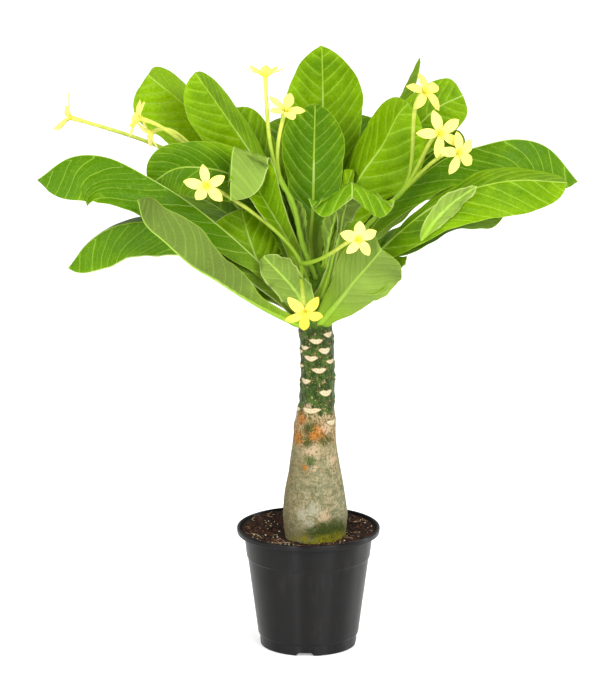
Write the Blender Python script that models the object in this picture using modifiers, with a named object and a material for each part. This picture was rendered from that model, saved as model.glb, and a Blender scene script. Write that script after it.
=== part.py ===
"""A potted hawaiian palm: a swollen stem with a crown of leaves and yellow flowers, in a nursery pot.

All sizes and places in this file are millimetres and degrees, and MM turns them into Blender's metres.
The pot stands on Z = 0 with its axis on Z. The side usually looked at faces -Y, and +X is on its right.
"""
import math

import bmesh
import bpy
import numpy as np

MM = 0.001
GAP = 0.3              # clearance between pieces that touch
MERGE = 0.000001       # metres

# Pot
POT_HEIGHT = 110.0
RIM_RADIUS = 65.0
RIM_DROP = 5.5         # height of the turned-down edge
RIM_THROAT = 58.5      # outer wall just under the rim
STEP_RADIUS = 56.0     # outer wall above the small step
STEP_HEIGHT = 82.0
STEP_INSET = 0.9
BASE_RADIUS = 45.5     # outer wall just above the foot ring
FOOT_TOP = 10.5
FOOT_RADIUS = 44.0
FOOT_WALL = 2.0
WALL = 1.2
FLOOR_LIFT = 3.0
PAD_RADIUS = 12.0      # the floor's middle reaches the ground
POT_SIDES = 36
NOTCH_TOP = 11.3
NOTCH_BOTTOM = 16.8
NOTCH_HEIGHT = 2.8
NOTCH_TURNS = (-94.0, -4.0, 86.0, 176.0)
DRAIN_COUNT = 8
DRAIN_RADIUS = 4.5
DRAIN_CIRCLE = 30.0

# Soil
SOIL_TOP = 101.0
SOIL_LUMP = 1.6
SOIL_SEED = 7

# Stem: height, sideways lean and radius from the buried end to the growing point
STEM = (
    (70.0, 6.0, 21.0), (84.0, 6.0, 25.0), (100.0, 6.0, 27.5), (123.0, 6.0, 29.2), (138.0, 5.8, 27.6),
    (154.0, 5.6, 24.9), (177.0, 5.6, 21.4), (197.0, 5.8, 18.6), (207.0, 6.0, 18.2), (225.0, 7.6, 15.8),
    (249.0, 8.6, 15.2), (273.0, 8.0, 14.8), (300.0, 6.4, 14.6), (318.0, 6.6, 13.6), (340.0, 7.4, 10.5),
    (352.0, 8.0, 7.5), (358.0, 8.0, 3.5),
)
STEM_SIDES = 24
RING_SPACING = 5.0     # between the rings of the scarred stretch
SCAR_BAND = (196.0, 288.0)
SCAR_RELIEF = 1.1
SCAR_WIDTH = 10.0
SCAR_HEIGHT = 6.0
SCAR_COUNT = 22
GOLDEN_ANGLE = 137.5

# Leaf
LEAF_GRID = (10, 4)    # rows along a blade and columns across it
YOUNG_GRID = (6, 4)
ROW_CROWDING = 1.35    # above 1 the rows crowd towards the tip
MIDRIB_STEPS = 60      # of an arched midrib
MIDRIB_STEP = 3.0      # along a guided one
BLADE = 0.9
RIB = 1.9              # how far the midrib stands out below the blade at its foot
RIB_TIP = 0.3
RIB_SPREAD = 0.34      # share of the half width that the midrib takes up
STALK = 1.6            # extra thickness of the petiole
STALK_HALF_WIDTH = 2.3
TIP_HALF_WIDTH = 0.6
BASE_POWER = 1.8       # how slowly the stalk widens into the blade
TIP_POWER = 0.5        # how blunt the tip is
DROOP_POWER = 1.3      # how much of the droop falls near the tip
FORM_RUN = 0.3         # share of the length over which the stalk passes into the folded blade
ROLL_RUN = 0.35
WAVES = 3.0            # ripples along each edge
EDGE_PHASE = 2.2       # by which the two edges' ripples differ
FOOT_SINK = 3.0        # the petiole starts this far inside the stem, and is cut off at its skin
UPRIGHT = 52.0         # a leaf steeper than this leaves the stem in a curve
LAUNCH_SHARE = 0.9
LAUNCH_RUN = 0.11
SHADE_ANGLE = 50.0

# Flower
STALK_RADIUS = 2.4
STALK_KNEE = (3.0, 4.0)            # outwards and upwards from the stem's skin
TUBE_ROUNDING = 2
TUBE_RADIUS = 1.8
OVARY_RADIUS = 2.7     # the tube's foot
OVARY_LENGTH = 14.0
TUBE_SPACING = 13.0
TUBE_EASE = 0.3        # how far a tube runs straight at its ends
FLOWER_RADIUS = 20.0
THROAT_DEPTH = 3.0
PETALS = 5
PETAL_THICKNESS = 0.8
PETAL_REACH = (3.2, 11.0, 20.0)    # rings of the star, along a petal's middle
PETAL_NOTCH = (3.2, 3.9, 4.8)      # the same rings between two petals
PETAL_NARROWING = 1.3
PETAL_REFLEX = 2.0

# Every leaf: seat and height are where on the stem it grows, width is its fullest, wave its edge's wave, and
# the folds lift or lower its two halves. A leaf that can be seen well follows its path, through points on its
# midrib, with its left edge towards side, which turns to tip_side by the tip. The others rise at an angle along
# their azimuth and droop by the tip: swing turns them along the way and roll tips them about the midrib.
LEAVES = (
    # upright leaves of the middle and the back
    dict(seat=79, height=338, width=76, wave=2, fold_left=4, tip=0.72, side=(-1, -0.05, 0),
         path=((9, 36, 387), (11, 48, 440), (13, 52, 490), (12, 44, 545))),
    dict(seat=104, height=346, width=57, wave=1, fold_left=6, fold_right=4, tip=0.6, side=(-1, 0.1, 0),
         path=((2, 7, 372), (4, 17, 404), (5, 22, 454), (6, 20, 497))),
    dict(seat=117, height=340, width=44, wave=2, fold_right=-16, side=(-0.86, -0.2, -0.4),
         path=((-10, 33, 378), (-32, 45, 417), (-51, 52, 453), (-65, 54, 486))),
    dict(azimuth=76, height=319, length=208, width=76, rise=54, droop=26, wave=3, seat=78, swing=4, roll=4,
         fold_left=4),
    dict(azimuth=98, height=331, length=192, width=74, rise=65, droop=48, wave=3),
    dict(seat=42, height=339, width=78, wave=2, fold_left=-57, tip=0.45, side=(-0.86, 0.13, 0.48),
         path=((19, 11, 377), (34, 11, 408), (47, 7, 435), (66, 1, 464), (78, 0, 489), (88, 0, 502))),
    dict(seat=55, height=334, width=59, wave=3, fold_left=-13, fold_right=-16, side=(0.1, 1, 0.1),
         path=((33, 44, 380), (54, 65, 424), (79, 83, 482), (100, 88, 525))),
    dict(seat=-3, height=338, width=54, wave=3, fold_left=-11, fold_right=-8, tip=0.3,
         side=(-0.6, 0.3, 0.7),
         path=((35, 17, 382), (60, 29, 420), (87, 37, 459), (113, 41, 487), (138, 38, 501))),
    dict(azimuth=19, height=331, length=188, width=80, rise=57, droop=24, wave=3, seat=23, swing=4, roll=5,
         fold_left=2, fold_right=-4),
    # raised leaves on the left
    dict(seat=174, height=338, width=78, wave=2, fold_right=-75, tip=0.3, side=(-0.82, -0.34, -0.5),
         path=((-43, 30, 394), (-79, 50, 441), (-106, 58, 482), (-144, 56, 516))),
    dict(seat=138, height=328, width=60, wave=2, fold_left=-12, fold_right=-74, side=(-0.84, -0.23, -0.5),
         path=((-21, 25, 395), (-44, 22, 440), (-74, 21, 486), (-101, 22, 525))),
    dict(seat=189, height=318, width=52, wave=2, fold_left=-23, fold_right=45, side=(-0.1, -0.65, -0.75),
         path=((-21, -3, 382), (-48, -12, 424), (-71, -18, 442), (-97, -19, 448), (-120, -18, 446),
               (-141, -17, 432))),
    dict(seat=199, height=334, width=71, wave=2, fold_left=81, fold_right=23, tip=0.4, side=(-1, 0.1, 0),
         path=((-17, -11, 376), (-40, -17, 418), (-56, -27, 451), (-65, -39, 470), (-68, -51, 459),
               (-69, -57, 427))),
    # spreading leaves on the left, the lowest last
    dict(seat=231, height=309, width=96, wave=3, fold_left=-3, fold_right=-82, tip=0.4,
         side=(-0.4, -0.55, -0.7), tip_side=(0.35, -0.5, -0.7),
         path=((-47, -31, 368), (-102, -43, 419), (-150, -37, 448), (-182, -32, 461), (-212, -33, 460),
               (-240, -41, 442))),
    dict(seat=219, height=302, width=65, wave=3, fold_left=-22, fold_right=-67, side=(-0.3, -0.5, -0.85),
         tip_side=(0.3, -0.5, -0.8),
         path=((-41, -28, 349), (-61, -32, 370), (-91, -34, 390), (-131, -31, 401), (-170, -23, 396),
               (-196, -19, 380), (-215, -16, 355))),
    dict(seat=226, height=299, width=64, wave=3, fold_left=2, fold_right=72, tip=0.6,
         side=(0.65, -0.45, 0.6),
         path=((-48, -37, 328), (-82, -66, 357), (-104, -82, 375), (-126, -92, 398), (-143, -88, 413),
               (-150, -68, 429))),
    # leaves towards the front
    dict(seat=-68, height=322, width=84, wave=4, fold_left=-30, fold_right=-30, tip=0.35, base=3.2,
         side=(1, 0, 0),
         path=((24, -28, 375), (32, -48, 416), (36, -68, 442), (38, -84, 448), (38, -98, 432))),
    dict(seat=196, height=306, width=73, wave=3, fold_left=-17, fold_right=-11, side=(-0.75, -0.4, -0.4),
         path=((-22, -11, 329), (-40, -13, 349), (-52, -12, 379), (-60, -6, 407))),
    dict(seat=-72, height=302, width=65, wave=2, fold_left=6, fold_right=36, tip=0.35,
         side=(0.85, -0.2, -0.48), path=((29, -40, 333), (39, -60, 352), (51, -79, 371), (64, -106, 394))),
    dict(azimuth=-40, height=304, length=112, width=46, rise=40, droop=8, wave=2, seat=-34, fold_left=4,
         fold_right=4),
    # spreading leaves on the right
    dict(seat=-2, height=320, width=85, wave=3, fold_left=-119, fold_right=5, tip=0.55,
         side=(-0.15, 0.6, 0.75), tip_side=(0.6, 0.4, 0.75),
         path=((48, -7, 379), (83, -6, 421), (119, -7, 452), (153, -7, 465), (186, -2, 470),
               (215, 4, 460), (241, 9, 429))),
    dict(seat=-19, height=311, width=68, wave=3, fold_left=-80, side=(-0.2, 0.5, 0.8),
         path=((50, -31, 360), (81, -47, 396), (116, -52, 424), (152, -55, 439), (187, -52, 444),
               (228, -53, 442))),
    # spreading leaves at the back
    dict(azimuth=112, height=317, length=240, width=86, rise=52, droop=44, wave=4, seat=110, swing=-2,
         roll=4),
    dict(azimuth=138, height=316, length=228, width=80, rise=46, droop=58, wave=4, seat=140),
    dict(azimuth=128, height=308, length=250, width=84, rise=38, droop=62, wave=4),
    dict(azimuth=92, height=302, length=236, width=82, rise=34, droop=60, wave=4),
    dict(azimuth=64, height=310, length=256, width=86, rise=40, droop=56, wave=4),
    dict(azimuth=34, height=306, length=216, width=80, rise=42, droop=50, wave=4, seat=36),
)
YOUNG_LEAVES = (
    dict(azimuth=-30, height=352, length=60, width=22, rise=80, droop=8, wave=0, seat=-28, roll=2,
         fold_left=20, fold_right=20, stalk=2.5),
    dict(azimuth=210, height=349, length=78, width=26, rise=76, droop=10, wave=0, fold_left=20,
         fold_right=20, stalk=2.5),
    dict(azimuth=26, height=349, length=94, width=34, rise=79, droop=14, wave=1, seat=29, swing=-2, roll=4,
         fold_left=16, fold_right=10, stalk=3),
)

# Flower sprays: where the stalk leaves the stem, the points that it passes, and its flowers with the middle
# of each star and the azimuth and elevation that it faces, and that its tube leaves the stalk in where that
# isn't the stalk's own direction
SPRAYS = (
    dict(name="front", seat=(237, 336), stalk=((-5, -29, 356), (-8, -29, 364)), flowers=(
        dict(centre=(-90, -71, 443), facing=(-86, 7)),
        dict(centre=(44, -110, 404), facing=(-72, 10), leaving=(-35, 10)),
        dict(centre=(-3, -86, 331), facing=(-85, -45), leaving=(-90, -40)),
    )),
    dict(name="middle", seat=(-100, 344), stalk=((-5, -20, 376), (-13, -26, 414), (-24, -30, 437)), flowers=(
        dict(centre=(-38, -36, 536), facing=(100, 79)),
        dict(centre=(-20, -44, 506), facing=(-50, 55)),
    )),
    dict(name="left", seat=(163, 330), stalk=((-33, 15, 367), (-63, 22, 404), (-78, 21, 422)), flowers=(
        dict(centre=(-215, 22, 485), facing=(185, 18)),
        dict(centre=(-151, -24, 494), facing=(192, 18)),
        dict(centre=(-141, -8, 476), facing=(201, -27)),
    )),
    dict(name="right", seat=(-20, 338), stalk=((33, -14, 371), (62, -20, 405), (81, -22, 424)), flowers=(
        dict(centre=(103, -46, 523), facing=(-50, 30)),
        dict(centre=(116, -62, 488), facing=(-70, 10)),
        dict(centre=(133, -64, 471), facing=(-55, 0)),
    )),
)


def clear_scene():
    for thing in list(bpy.data.objects):
        bpy.data.objects.remove(thing, do_unlink=True)


def new_collection(name):
    collection = bpy.data.collections.new(name)
    bpy.context.scene.collection.children.link(collection)
    return collection


def new_material(name, colour, roughness):
    material = bpy.data.materials.new(name)
    material.use_nodes = True
    shader = material.node_tree.nodes["Principled BSDF"]
    shader.inputs["Base Color"].default_value = (*colour, 1.0)
    shader.inputs["Roughness"].default_value = roughness
    shader.inputs["Metallic"].default_value = 0.0
    return material


def add_object(name, data, collection, material=None):
    thing = bpy.data.objects.new(name, data)
    collection.objects.link(thing)
    if material:
        data.materials.append(material)
    return thing


def hide_as_cutter(thing):
    thing.hide_render = True
    thing.display_type = "WIRE"


def shade_smooth(mesh):
    mesh.shade_smooth()
    mesh.set_sharp_from_angle(angle=math.radians(SHADE_ANGLE))


def smooth_step(t):
    t = np.clip(t, 0.0, 1.0)
    return t * t * (3.0 - 2.0 * t)


def direction(azimuth, elevation=0.0):
    a, e = math.radians(azimuth), math.radians(elevation)
    return np.array([math.cos(e) * math.cos(a), math.cos(e) * math.sin(a), math.sin(e)])


def raw_points(mesh):
    points = np.empty(len(mesh.vertices) * 3)
    mesh.vertices.foreach_get("co", points)
    return points.reshape(-1, 3)


def get_points(mesh):
    return raw_points(mesh) / MM


def set_points(mesh, points):
    mesh.vertices.foreach_set("co", (points * MM).ravel())
    mesh.update()


def turned(name, profile, sides, collection, material=None):
    """A profile of (radius, height) points turned round the Z axis; it runs down its outer side."""
    mesh = bpy.data.meshes.new(name)
    points = [(radius * MM, 0.0, height * MM) for radius, height in profile]
    mesh.from_pydata(points, [(i, i + 1) for i in range(len(points) - 1)], [])
    thing = add_object(name, mesh, collection, material)
    screw = thing.modifiers.new("Turn", "SCREW")
    screw.steps = sides
    screw.render_steps = sides
    screw.use_merge_vertices = True
    screw.merge_threshold = MERGE
    return thing


def applied(thing):
    """Replaces an object's mesh or curve by what its modifiers make of it, as one welded mesh."""
    seen = thing.evaluated_get(bpy.context.evaluated_depsgraph_get())
    mesh = bpy.data.meshes.new_from_object(seen)
    name = thing.name
    place = thing.matrix_world.copy()
    collection = thing.users_collection[0]
    bpy.data.objects.remove(thing, do_unlink=True)
    bm = bmesh.new()
    bm.from_mesh(mesh)
    bmesh.ops.remove_doubles(bm, verts=bm.verts, dist=MERGE)
    bm.to_mesh(mesh)
    bm.free()
    result = bpy.data.objects.new(name, mesh)
    result.matrix_world = place
    collection.objects.link(result)
    return result


def cut(thing, cutter, operation="DIFFERENCE"):
    boolean = thing.modifiers.new("Cut", "BOOLEAN")
    boolean.operation = operation
    boolean.object = cutter
    return boolean


def stem_at(height):
    heights = [station[0] for station in STEM]
    lean = np.interp(height, heights, [station[1] for station in STEM])
    radius = np.interp(height, heights, [station[2] for station in STEM])
    return lean, radius


def inner_radius(height):
    """Inside of the pot's wall."""
    heights = (FOOT_TOP - 0.5, FOOT_TOP + 0.7, STEP_HEIGHT, STEP_HEIGHT + 1.0, POT_HEIGHT)
    radii = (FOOT_RADIUS, BASE_RADIUS, STEP_RADIUS - STEP_INSET, STEP_RADIUS, RIM_THROAT + 0.4)
    return np.interp(height, heights, radii) - WALL


def build_pot(collection, cutters, material):
    rim_low = POT_HEIGHT - RIM_DROP
    floor_top = FLOOR_LIFT + WALL
    inside = [(0.0, WALL), (PAD_RADIUS - 1.5, WALL), (PAD_RADIUS + 0.5, floor_top)]
    inside += [(inner_radius(z), z) for z in (floor_top, FOOT_TOP - 0.5, FOOT_TOP + 0.7, STEP_HEIGHT)]
    inside += [(inner_radius(z), z) for z in (STEP_HEIGHT + 1.0, POT_HEIGHT - 0.8)]
    rim = [
        (RIM_THROAT + 0.4, POT_HEIGHT), (RIM_RADIUS - 1.0, POT_HEIGHT), (RIM_RADIUS, POT_HEIGHT - 1.0),
        (RIM_RADIUS - 0.4, rim_low), (RIM_RADIUS - 1.6, rim_low), (RIM_RADIUS - 1.6, POT_HEIGHT - 1.6),
        (RIM_THROAT + 0.4, POT_HEIGHT - 1.6),
    ]
    outside = [
        (RIM_THROAT, rim_low), (STEP_RADIUS, STEP_HEIGHT + 1.0), (STEP_RADIUS - STEP_INSET, STEP_HEIGHT),
        (BASE_RADIUS, FOOT_TOP), (FOOT_RADIUS, FOOT_TOP - 0.7), (FOOT_RADIUS - 0.2, 0.0),
        (FOOT_RADIUS - FOOT_WALL, 0.0), (FOOT_RADIUS - FOOT_WALL, FLOOR_LIFT),
        (PAD_RADIUS, FLOOR_LIFT), (PAD_RADIUS - 1.0, 0.0), (0.0, 0.0),
    ]
    pot = turned("pot", inside + rim + outside, POT_SIDES, collection, material)
    for turn in NOTCH_TURNS:
        build_notch(turn, cutters)
    for index in range(DRAIN_COUNT):
        build_drain(360.0 * (index + 0.5) / DRAIN_COUNT, cutters)
    boolean = cut(pot, None)
    boolean.operand_type = "COLLECTION"
    boolean.collection = cutters


def build_notch(turn, cutters):
    """A wedge that is narrower at its top, across the foot ring."""
    bm = bmesh.new()
    bmesh.ops.create_cube(bm, size=1.0)
    reach = FOOT_WALL * 3.0
    for vertex in bm.verts:
        high = vertex.co.z > 0.0
        vertex.co.x = FOOT_RADIUS + vertex.co.x * reach
        vertex.co.y *= NOTCH_TOP if high else NOTCH_BOTTOM
        vertex.co.z = NOTCH_HEIGHT if high else -1.0
        vertex.co *= MM
    mesh = bpy.data.meshes.new("notch")
    bm.to_mesh(mesh)
    bm.free()
    notch = add_object("notch", mesh, cutters)
    notch.rotation_euler.z = math.radians(turn)
    hide_as_cutter(notch)


def build_drain(turn, cutters):
    bm = bmesh.new()
    radius = DRAIN_RADIUS * MM
    depth = 2.0 * FLOOR_LIFT * MM
    bmesh.ops.create_cone(bm, cap_ends=True, segments=8, radius1=radius, radius2=radius, depth=depth)
    mesh = bpy.data.meshes.new("drain")
    bm.to_mesh(mesh)
    bm.free()
    drain = add_object("drain", mesh, cutters)
    drain.location = direction(turn) * DRAIN_CIRCLE * MM + np.array([0.0, 0.0, FLOOR_LIFT * MM])
    hide_as_cutter(drain)


def build_stem_space(cutters):
    """The stem's outline with a clearance: it cuts the hole in the soil and the foot of every stalk."""
    top, bottom = STEM[-1][0] + GAP, STEM[0][0] - GAP
    sides = [(radius + GAP, height) for height, _, radius in reversed(STEM[1:-1])]
    ends = (STEM[-1][2] + GAP, top), (STEM[0][2] + GAP, bottom)
    profile = [(0.0, top), ends[0], *sides, ends[1], (0.0, bottom)]
    space = applied(turned("stem_space", profile, STEM_SIDES, cutters))
    lean_with_stem(space.data)
    hide_as_cutter(space)
    return space


def lean_with_stem(mesh):
    points = get_points(mesh)
    points[:, 0] += stem_at(points[:, 2])[0]
    set_points(mesh, points)


def scar_places():
    """Leaf scars wind up the stem by the golden angle, closer together towards the crown."""
    low, high = SCAR_BAND
    places = []
    for index in range(SCAR_COUNT):
        part = index / (SCAR_COUNT - 1)
        places.append((-70.0 + GOLDEN_ANGLE * index, low + (high - low) * part ** 0.85))
    return places


def scar_relief(angle, height):
    """Each scar is a low lens-shaped swelling."""
    relief = np.zeros_like(height)
    radius = stem_at(height)[1]
    for turn, centre in scar_places():
        around = (np.degrees(angle) - turn + 180.0) % 360.0 - 180.0
        across = np.radians(around) * radius / (0.5 * SCAR_WIDTH)
        along = (height - centre) / (0.5 * SCAR_HEIGHT)
        relief = np.maximum(relief, np.clip(1.3 - across ** 2 - along ** 2, 0.0, 1.0))
    return relief * SCAR_RELIEF


def build_trunk(collection, material):
    low, high = SCAR_BAND
    ring_count = int((high - low + 8.0) / RING_SPACING)
    heights = {station[0] for station in STEM if not low - 4.0 < station[0] < high + 4.0}
    heights |= set(np.linspace(low - 4.0, high + 4.0, ring_count + 1))
    profile = [(0.0, STEM[-1][0])]
    profile += [(stem_at(height)[1], height) for height in sorted(heights, reverse=True)]
    profile += [(0.0, STEM[0][0])]
    trunk = applied(turned("trunk", profile, STEM_SIDES, collection))
    points = get_points(trunk.data)
    angle = np.arctan2(points[:, 1], points[:, 0])
    radius = np.hypot(points[:, 0], points[:, 1])
    grown = radius + scar_relief(angle, points[:, 2]) * (radius > 1.0)
    points[:, 0] = grown * np.cos(angle)
    points[:, 1] = grown * np.sin(angle)
    set_points(trunk.data, points)
    lean_with_stem(trunk.data)
    trunk.data.materials.append(material)
    shade_smooth(trunk.data)


def build_soil(collection, stem_space, material):
    """The filling follows the inside of the pot; its top is lumpy and has a hole for the stem."""
    floor_top = FLOOR_LIFT + WALL
    top = [(radius, SOIL_TOP) for radius in (0.0, 26.0, 34.0, 42.0, 50.0)]
    edge = [(inner_radius(SOIL_TOP) - GAP, SOIL_TOP - 1.0)]
    heights = (STEP_HEIGHT + 1.0, STEP_HEIGHT, FOOT_TOP + 0.9, FOOT_TOP - 0.3, floor_top + GAP)
    wall = [(inner_radius(z) - GAP, z) for z in heights]
    floor = [(PAD_RADIUS + 0.5, floor_top + GAP), (PAD_RADIUS - 1.6, WALL + GAP), (0.0, WALL + GAP)]
    soil = applied(turned("soil", top + edge + wall + floor, POT_SIDES, collection))
    points = get_points(soil.data)
    draw = np.random.default_rng(SOIL_SEED)
    lumps = draw.uniform(-SOIL_LUMP, SOIL_LUMP, len(points))
    on_top = (points[:, 2] > SOIL_TOP - 0.5)
    points[:, 2] += np.where(on_top, lumps, 0.0)
    set_points(soil.data, points)
    soil.data.materials.append(material)
    cut(soil, stem_space)


def unit(vectors):
    return vectors / np.linalg.norm(vectors, axis=-1, keepdims=True)


def guided_midrib(leaf, foot):
    """A midrib through the points of the leaf's path, with the edges square to it and towards the leaf's side."""
    line = smooth_path(np.array([foot, *leaf["path"]], float), MIDRIB_STEP)
    u = np.linspace(0.0, 1.0, len(line))
    along = unit(np.gradient(line, axis=0))
    share = smooth_step(u)[:, None]
    side = np.array(leaf["side"]) * (1.0 - share) + np.array(leaf.get("tip_side", leaf["side"])) * share
    across = unit(side - (side * along).sum(axis=1, keepdims=True) * along)
    return u, line, across, np.cross(along, across)


def arched_midrib(leaf, foot):
    """A midrib that rises at an angle and droops towards its tip."""
    u = np.linspace(0.0, 1.0, MIDRIB_STEPS + 1)
    launch = LAUNCH_SHARE * max(0.0, leaf["rise"] - UPRIGHT) * (1.0 - smooth_step(u / LAUNCH_RUN))
    pitch = np.radians(leaf["rise"] - leaf["droop"] * u ** DROOP_POWER - launch)
    heading = np.radians(leaf["azimuth"] + leaf.get("swing", 0.0) * u)
    roll = np.radians(leaf.get("roll", 0.0) * smooth_step(u / ROLL_RUN))
    along = np.stack([np.cos(pitch) * np.cos(heading), np.cos(pitch) * np.sin(heading), np.sin(pitch)], -1)
    level = np.stack([-np.sin(heading), np.cos(heading), np.zeros_like(u)], -1)
    upper = np.cross(along, level)
    across = level * np.cos(roll)[:, None] + upper * np.sin(roll)[:, None]
    out = upper * np.cos(roll)[:, None] - level * np.sin(roll)[:, None]
    steps = 0.5 * (along[1:] + along[:-1]) * leaf["length"] / MIDRIB_STEPS
    return u, foot + np.vstack([np.zeros(3), np.cumsum(steps, 0)]), across, out


def midrib(leaf):
    """The leaf's middle line, with the directions across the blade and out of its upper face."""
    lean, radius = stem_at(leaf["height"])
    foot = np.array([lean, 0.0, leaf["height"]])
    foot = foot + direction(leaf.get("seat", leaf.get("azimuth"))) * (radius - FOOT_SINK)
    return guided_midrib(leaf, foot) if "path" in leaf else arched_midrib(leaf, foot)


def half_width(u, leaf):
    """Spoon-shaped outline: a narrow stalk that widens to its fullest past the middle."""
    tip = leaf.get("tip", TIP_POWER)
    base = leaf.get("base", BASE_POWER)
    peak = base / (base + tip)
    shape = (u / peak) ** base * ((1.0 - u) / (1.0 - peak)) ** tip
    stalk = leaf.get("stalk", STALK_HALF_WIDTH) * (1.0 - u) ** 0.5 * np.clip(1.0 - 2.2 * u, 0.0, 1.0)
    return np.maximum(0.5 * leaf["width"] * shape, TIP_HALF_WIDTH * smooth_step(u / FORM_RUN)) + stalk


def leaf_points(leaf, u, v):
    """A point of the blade for each u, from foot to tip, and v, from edge to edge."""
    steps, line, across, out = midrib(leaf)
    blend = lambda values: np.stack([np.interp(u, steps, values[:, k]) for k in range(3)], -1)
    line, across, out = blend(line), blend(across), blend(out)
    width = half_width(u, leaf)
    fold = np.radians(np.where(v >= 0.0, leaf.get("fold_left", 0.0), leaf.get("fold_right", 0.0)))
    fold *= smooth_step(u / FORM_RUN)
    side = v * np.cos(fold) * width
    lift = np.abs(v) * np.sin(fold) * width
    ripple = np.sin(2.0 * np.pi * WAVES * u + np.where(v > 0.0, 0.0, EDGE_PHASE))
    ripple *= smooth_step(u / 0.5) * np.sqrt(np.clip((1.0 - u) * 8.0, 0.0, 1.0))
    lift += leaf["wave"] * v ** 2 * ripple
    return line + side[:, None] * across + lift[:, None] * out


def leaf_thickness(u, v):
    rib = np.clip(1.0 - np.abs(v) / RIB_SPREAD, 0.0, 1.0) * (RIB_TIP + RIB * (1.0 - u))
    return BLADE + rib + STALK * np.clip(1.0 - u / FORM_RUN, 0.0, 1.0)


def build_leaf(name, leaf, grid_size, collection, stem_space, material):
    """One leaf with its petiole: a waved sheet, split into triangles before it is given its thickness."""
    bm = bmesh.new()
    bmesh.ops.create_grid(bm, x_segments=grid_size[1], y_segments=grid_size[0], size=1.0)
    mesh = bpy.data.meshes.new(name)
    bm.to_mesh(mesh)
    bm.free()
    grid = raw_points(mesh)
    u = 1.0 - (1.0 - 0.5 * (grid[:, 1] + 1.0)).clip(0.0, 1.0) ** ROW_CROWDING
    v = -grid[:, 0]
    set_points(mesh, leaf_points(leaf, u, v))
    bm = bmesh.new()
    bm.from_mesh(mesh)
    bmesh.ops.triangulate(bm, faces=bm.faces)
    bm.to_mesh(mesh)
    bm.free()
    thing = add_object(name, mesh, collection, material)
    thickness = leaf_thickness(u, v)
    thickest = float(thickness.max())
    group = thing.vertex_groups.new(name="thickness")
    for index, value in enumerate(thickness / thickest):
        group.add([index], float(value), "REPLACE")
    solidify = thing.modifiers.new("Thickness", "SOLIDIFY")
    solidify.thickness = thickest * MM
    solidify.offset = -1.0
    solidify.vertex_group = group.name
    cut(thing, stem_space)
    shade_smooth(mesh)


def smooth_path(points, spacing):
    """A smooth curve through the points, read every so many millimetres."""
    ends = np.array([2.0 * points[0] - points[1], *points, 2.0 * points[-1] - points[-2]])
    fine = []
    for a, b, c, d in zip(ends, ends[1:], ends[2:], ends[3:]):
        t = np.linspace(0.0, 1.0, 20, endpoint=False)[:, None]
        curve = 2.0 * b + (c - a) * t + (2.0 * a - 5.0 * b + 4.0 * c - d) * t ** 2
        fine.append(0.5 * (curve + (3.0 * b - a - 3.0 * c + d) * t ** 3))
    fine = np.vstack([*fine, points[-1]])
    return even_path(fine, spacing)


def even_path(fine, spacing):
    run = np.concatenate([[0.0], np.cumsum(np.linalg.norm(np.diff(fine, axis=0), axis=1))])
    places = np.linspace(0.0, run[-1], max(3, int(round(run[-1] / spacing))) + 1)
    return np.stack([np.interp(places, run, fine[:, k]) for k in range(3)], -1)


def tube_path(start, heading, flower):
    """From the fork of the spray into the back of the flower, along one Bezier curve."""
    end = np.array(flower["centre"])
    facing = direction(*flower["facing"])
    end = end - facing * (THROAT_DEPTH + 0.5 * PETAL_THICKNESS + GAP)
    leaving = direction(*flower["leaving"]) if "leaving" in flower else heading
    reach = TUBE_EASE * np.linalg.norm(end - start)
    t = np.linspace(0.0, 1.0, 40)[:, None]
    near, far = start + leaving * reach, end - facing * reach
    curve = (1 - t) ** 3 * start + 3 * (1 - t) ** 2 * t * near + 3 * (1 - t) * t ** 2 * far + t ** 3 * end
    return even_path(curve, TUBE_SPACING)


def tube_radii(path):
    """Thick at the ovary, then slender."""
    run = np.concatenate([[0.0], np.cumsum(np.linalg.norm(np.diff(path, axis=0), axis=1))])
    return TUBE_RADIUS + (OVARY_RADIUS - TUBE_RADIUS) * np.clip(1.0 - run / OVARY_LENGTH, 0.0, 1.0)


def build_tube(name, path, radii, collection):
    curve = bpy.data.curves.new(name, "CURVE")
    curve.dimensions = "3D"
    curve.bevel_depth = MM
    curve.bevel_resolution = TUBE_ROUNDING
    curve.use_fill_caps = True
    spline = curve.splines.new("POLY")
    spline.points.add(len(path) - 1)
    for point, place, radius in zip(spline.points, path, radii):
        point.co = (*(place * MM), 1.0)
        point.radius = radius
    thing = bpy.data.objects.new(name, curve)
    collection.objects.link(thing)
    return applied(thing)


def build_spray(name, spray, collection, stem_space, material):
    """The flower stalk and its long flower tubes, joined in one piece."""
    azimuth, height = spray["seat"]
    lean, radius = stem_at(height)
    axis_point = np.array([lean, 0.0, height])
    foot = axis_point + direction(azimuth) * (radius - FOOT_SINK)
    outwards, upwards = STALK_KNEE
    knee = axis_point + direction(azimuth) * (radius + outwards) + np.array([0.0, 0.0, upwards])
    route = [foot, knee] + [np.array(point) for point in spray["stalk"]]
    path = smooth_path(route, TUBE_SPACING)
    heading = path[-1] - path[-2]
    heading /= np.linalg.norm(heading)
    stalk = build_tube(name, path, [STALK_RADIUS] * len(path), collection)
    tubes = bpy.data.collections.new(name + "_tubes")
    bpy.context.scene.collection.children.link(tubes)
    for index, flower in enumerate(spray["flowers"]):
        tube = tube_path(path[-1] - heading * (1.0 + index), heading, flower)
        build_tube(f"{name}_tube_{index}", tube, tube_radii(tube), tubes)
    boolean = cut(stalk, None, "UNION")
    boolean.operand_type = "COLLECTION"
    boolean.collection = tubes
    stalk = applied(stalk)
    for tube in list(tubes.objects):
        bpy.data.objects.remove(tube, do_unlink=True)
    bpy.data.collections.remove(tubes)
    stalk.data.materials.append(material)
    cut(stalk, stem_space)
    shade_smooth(stalk.data)


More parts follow.
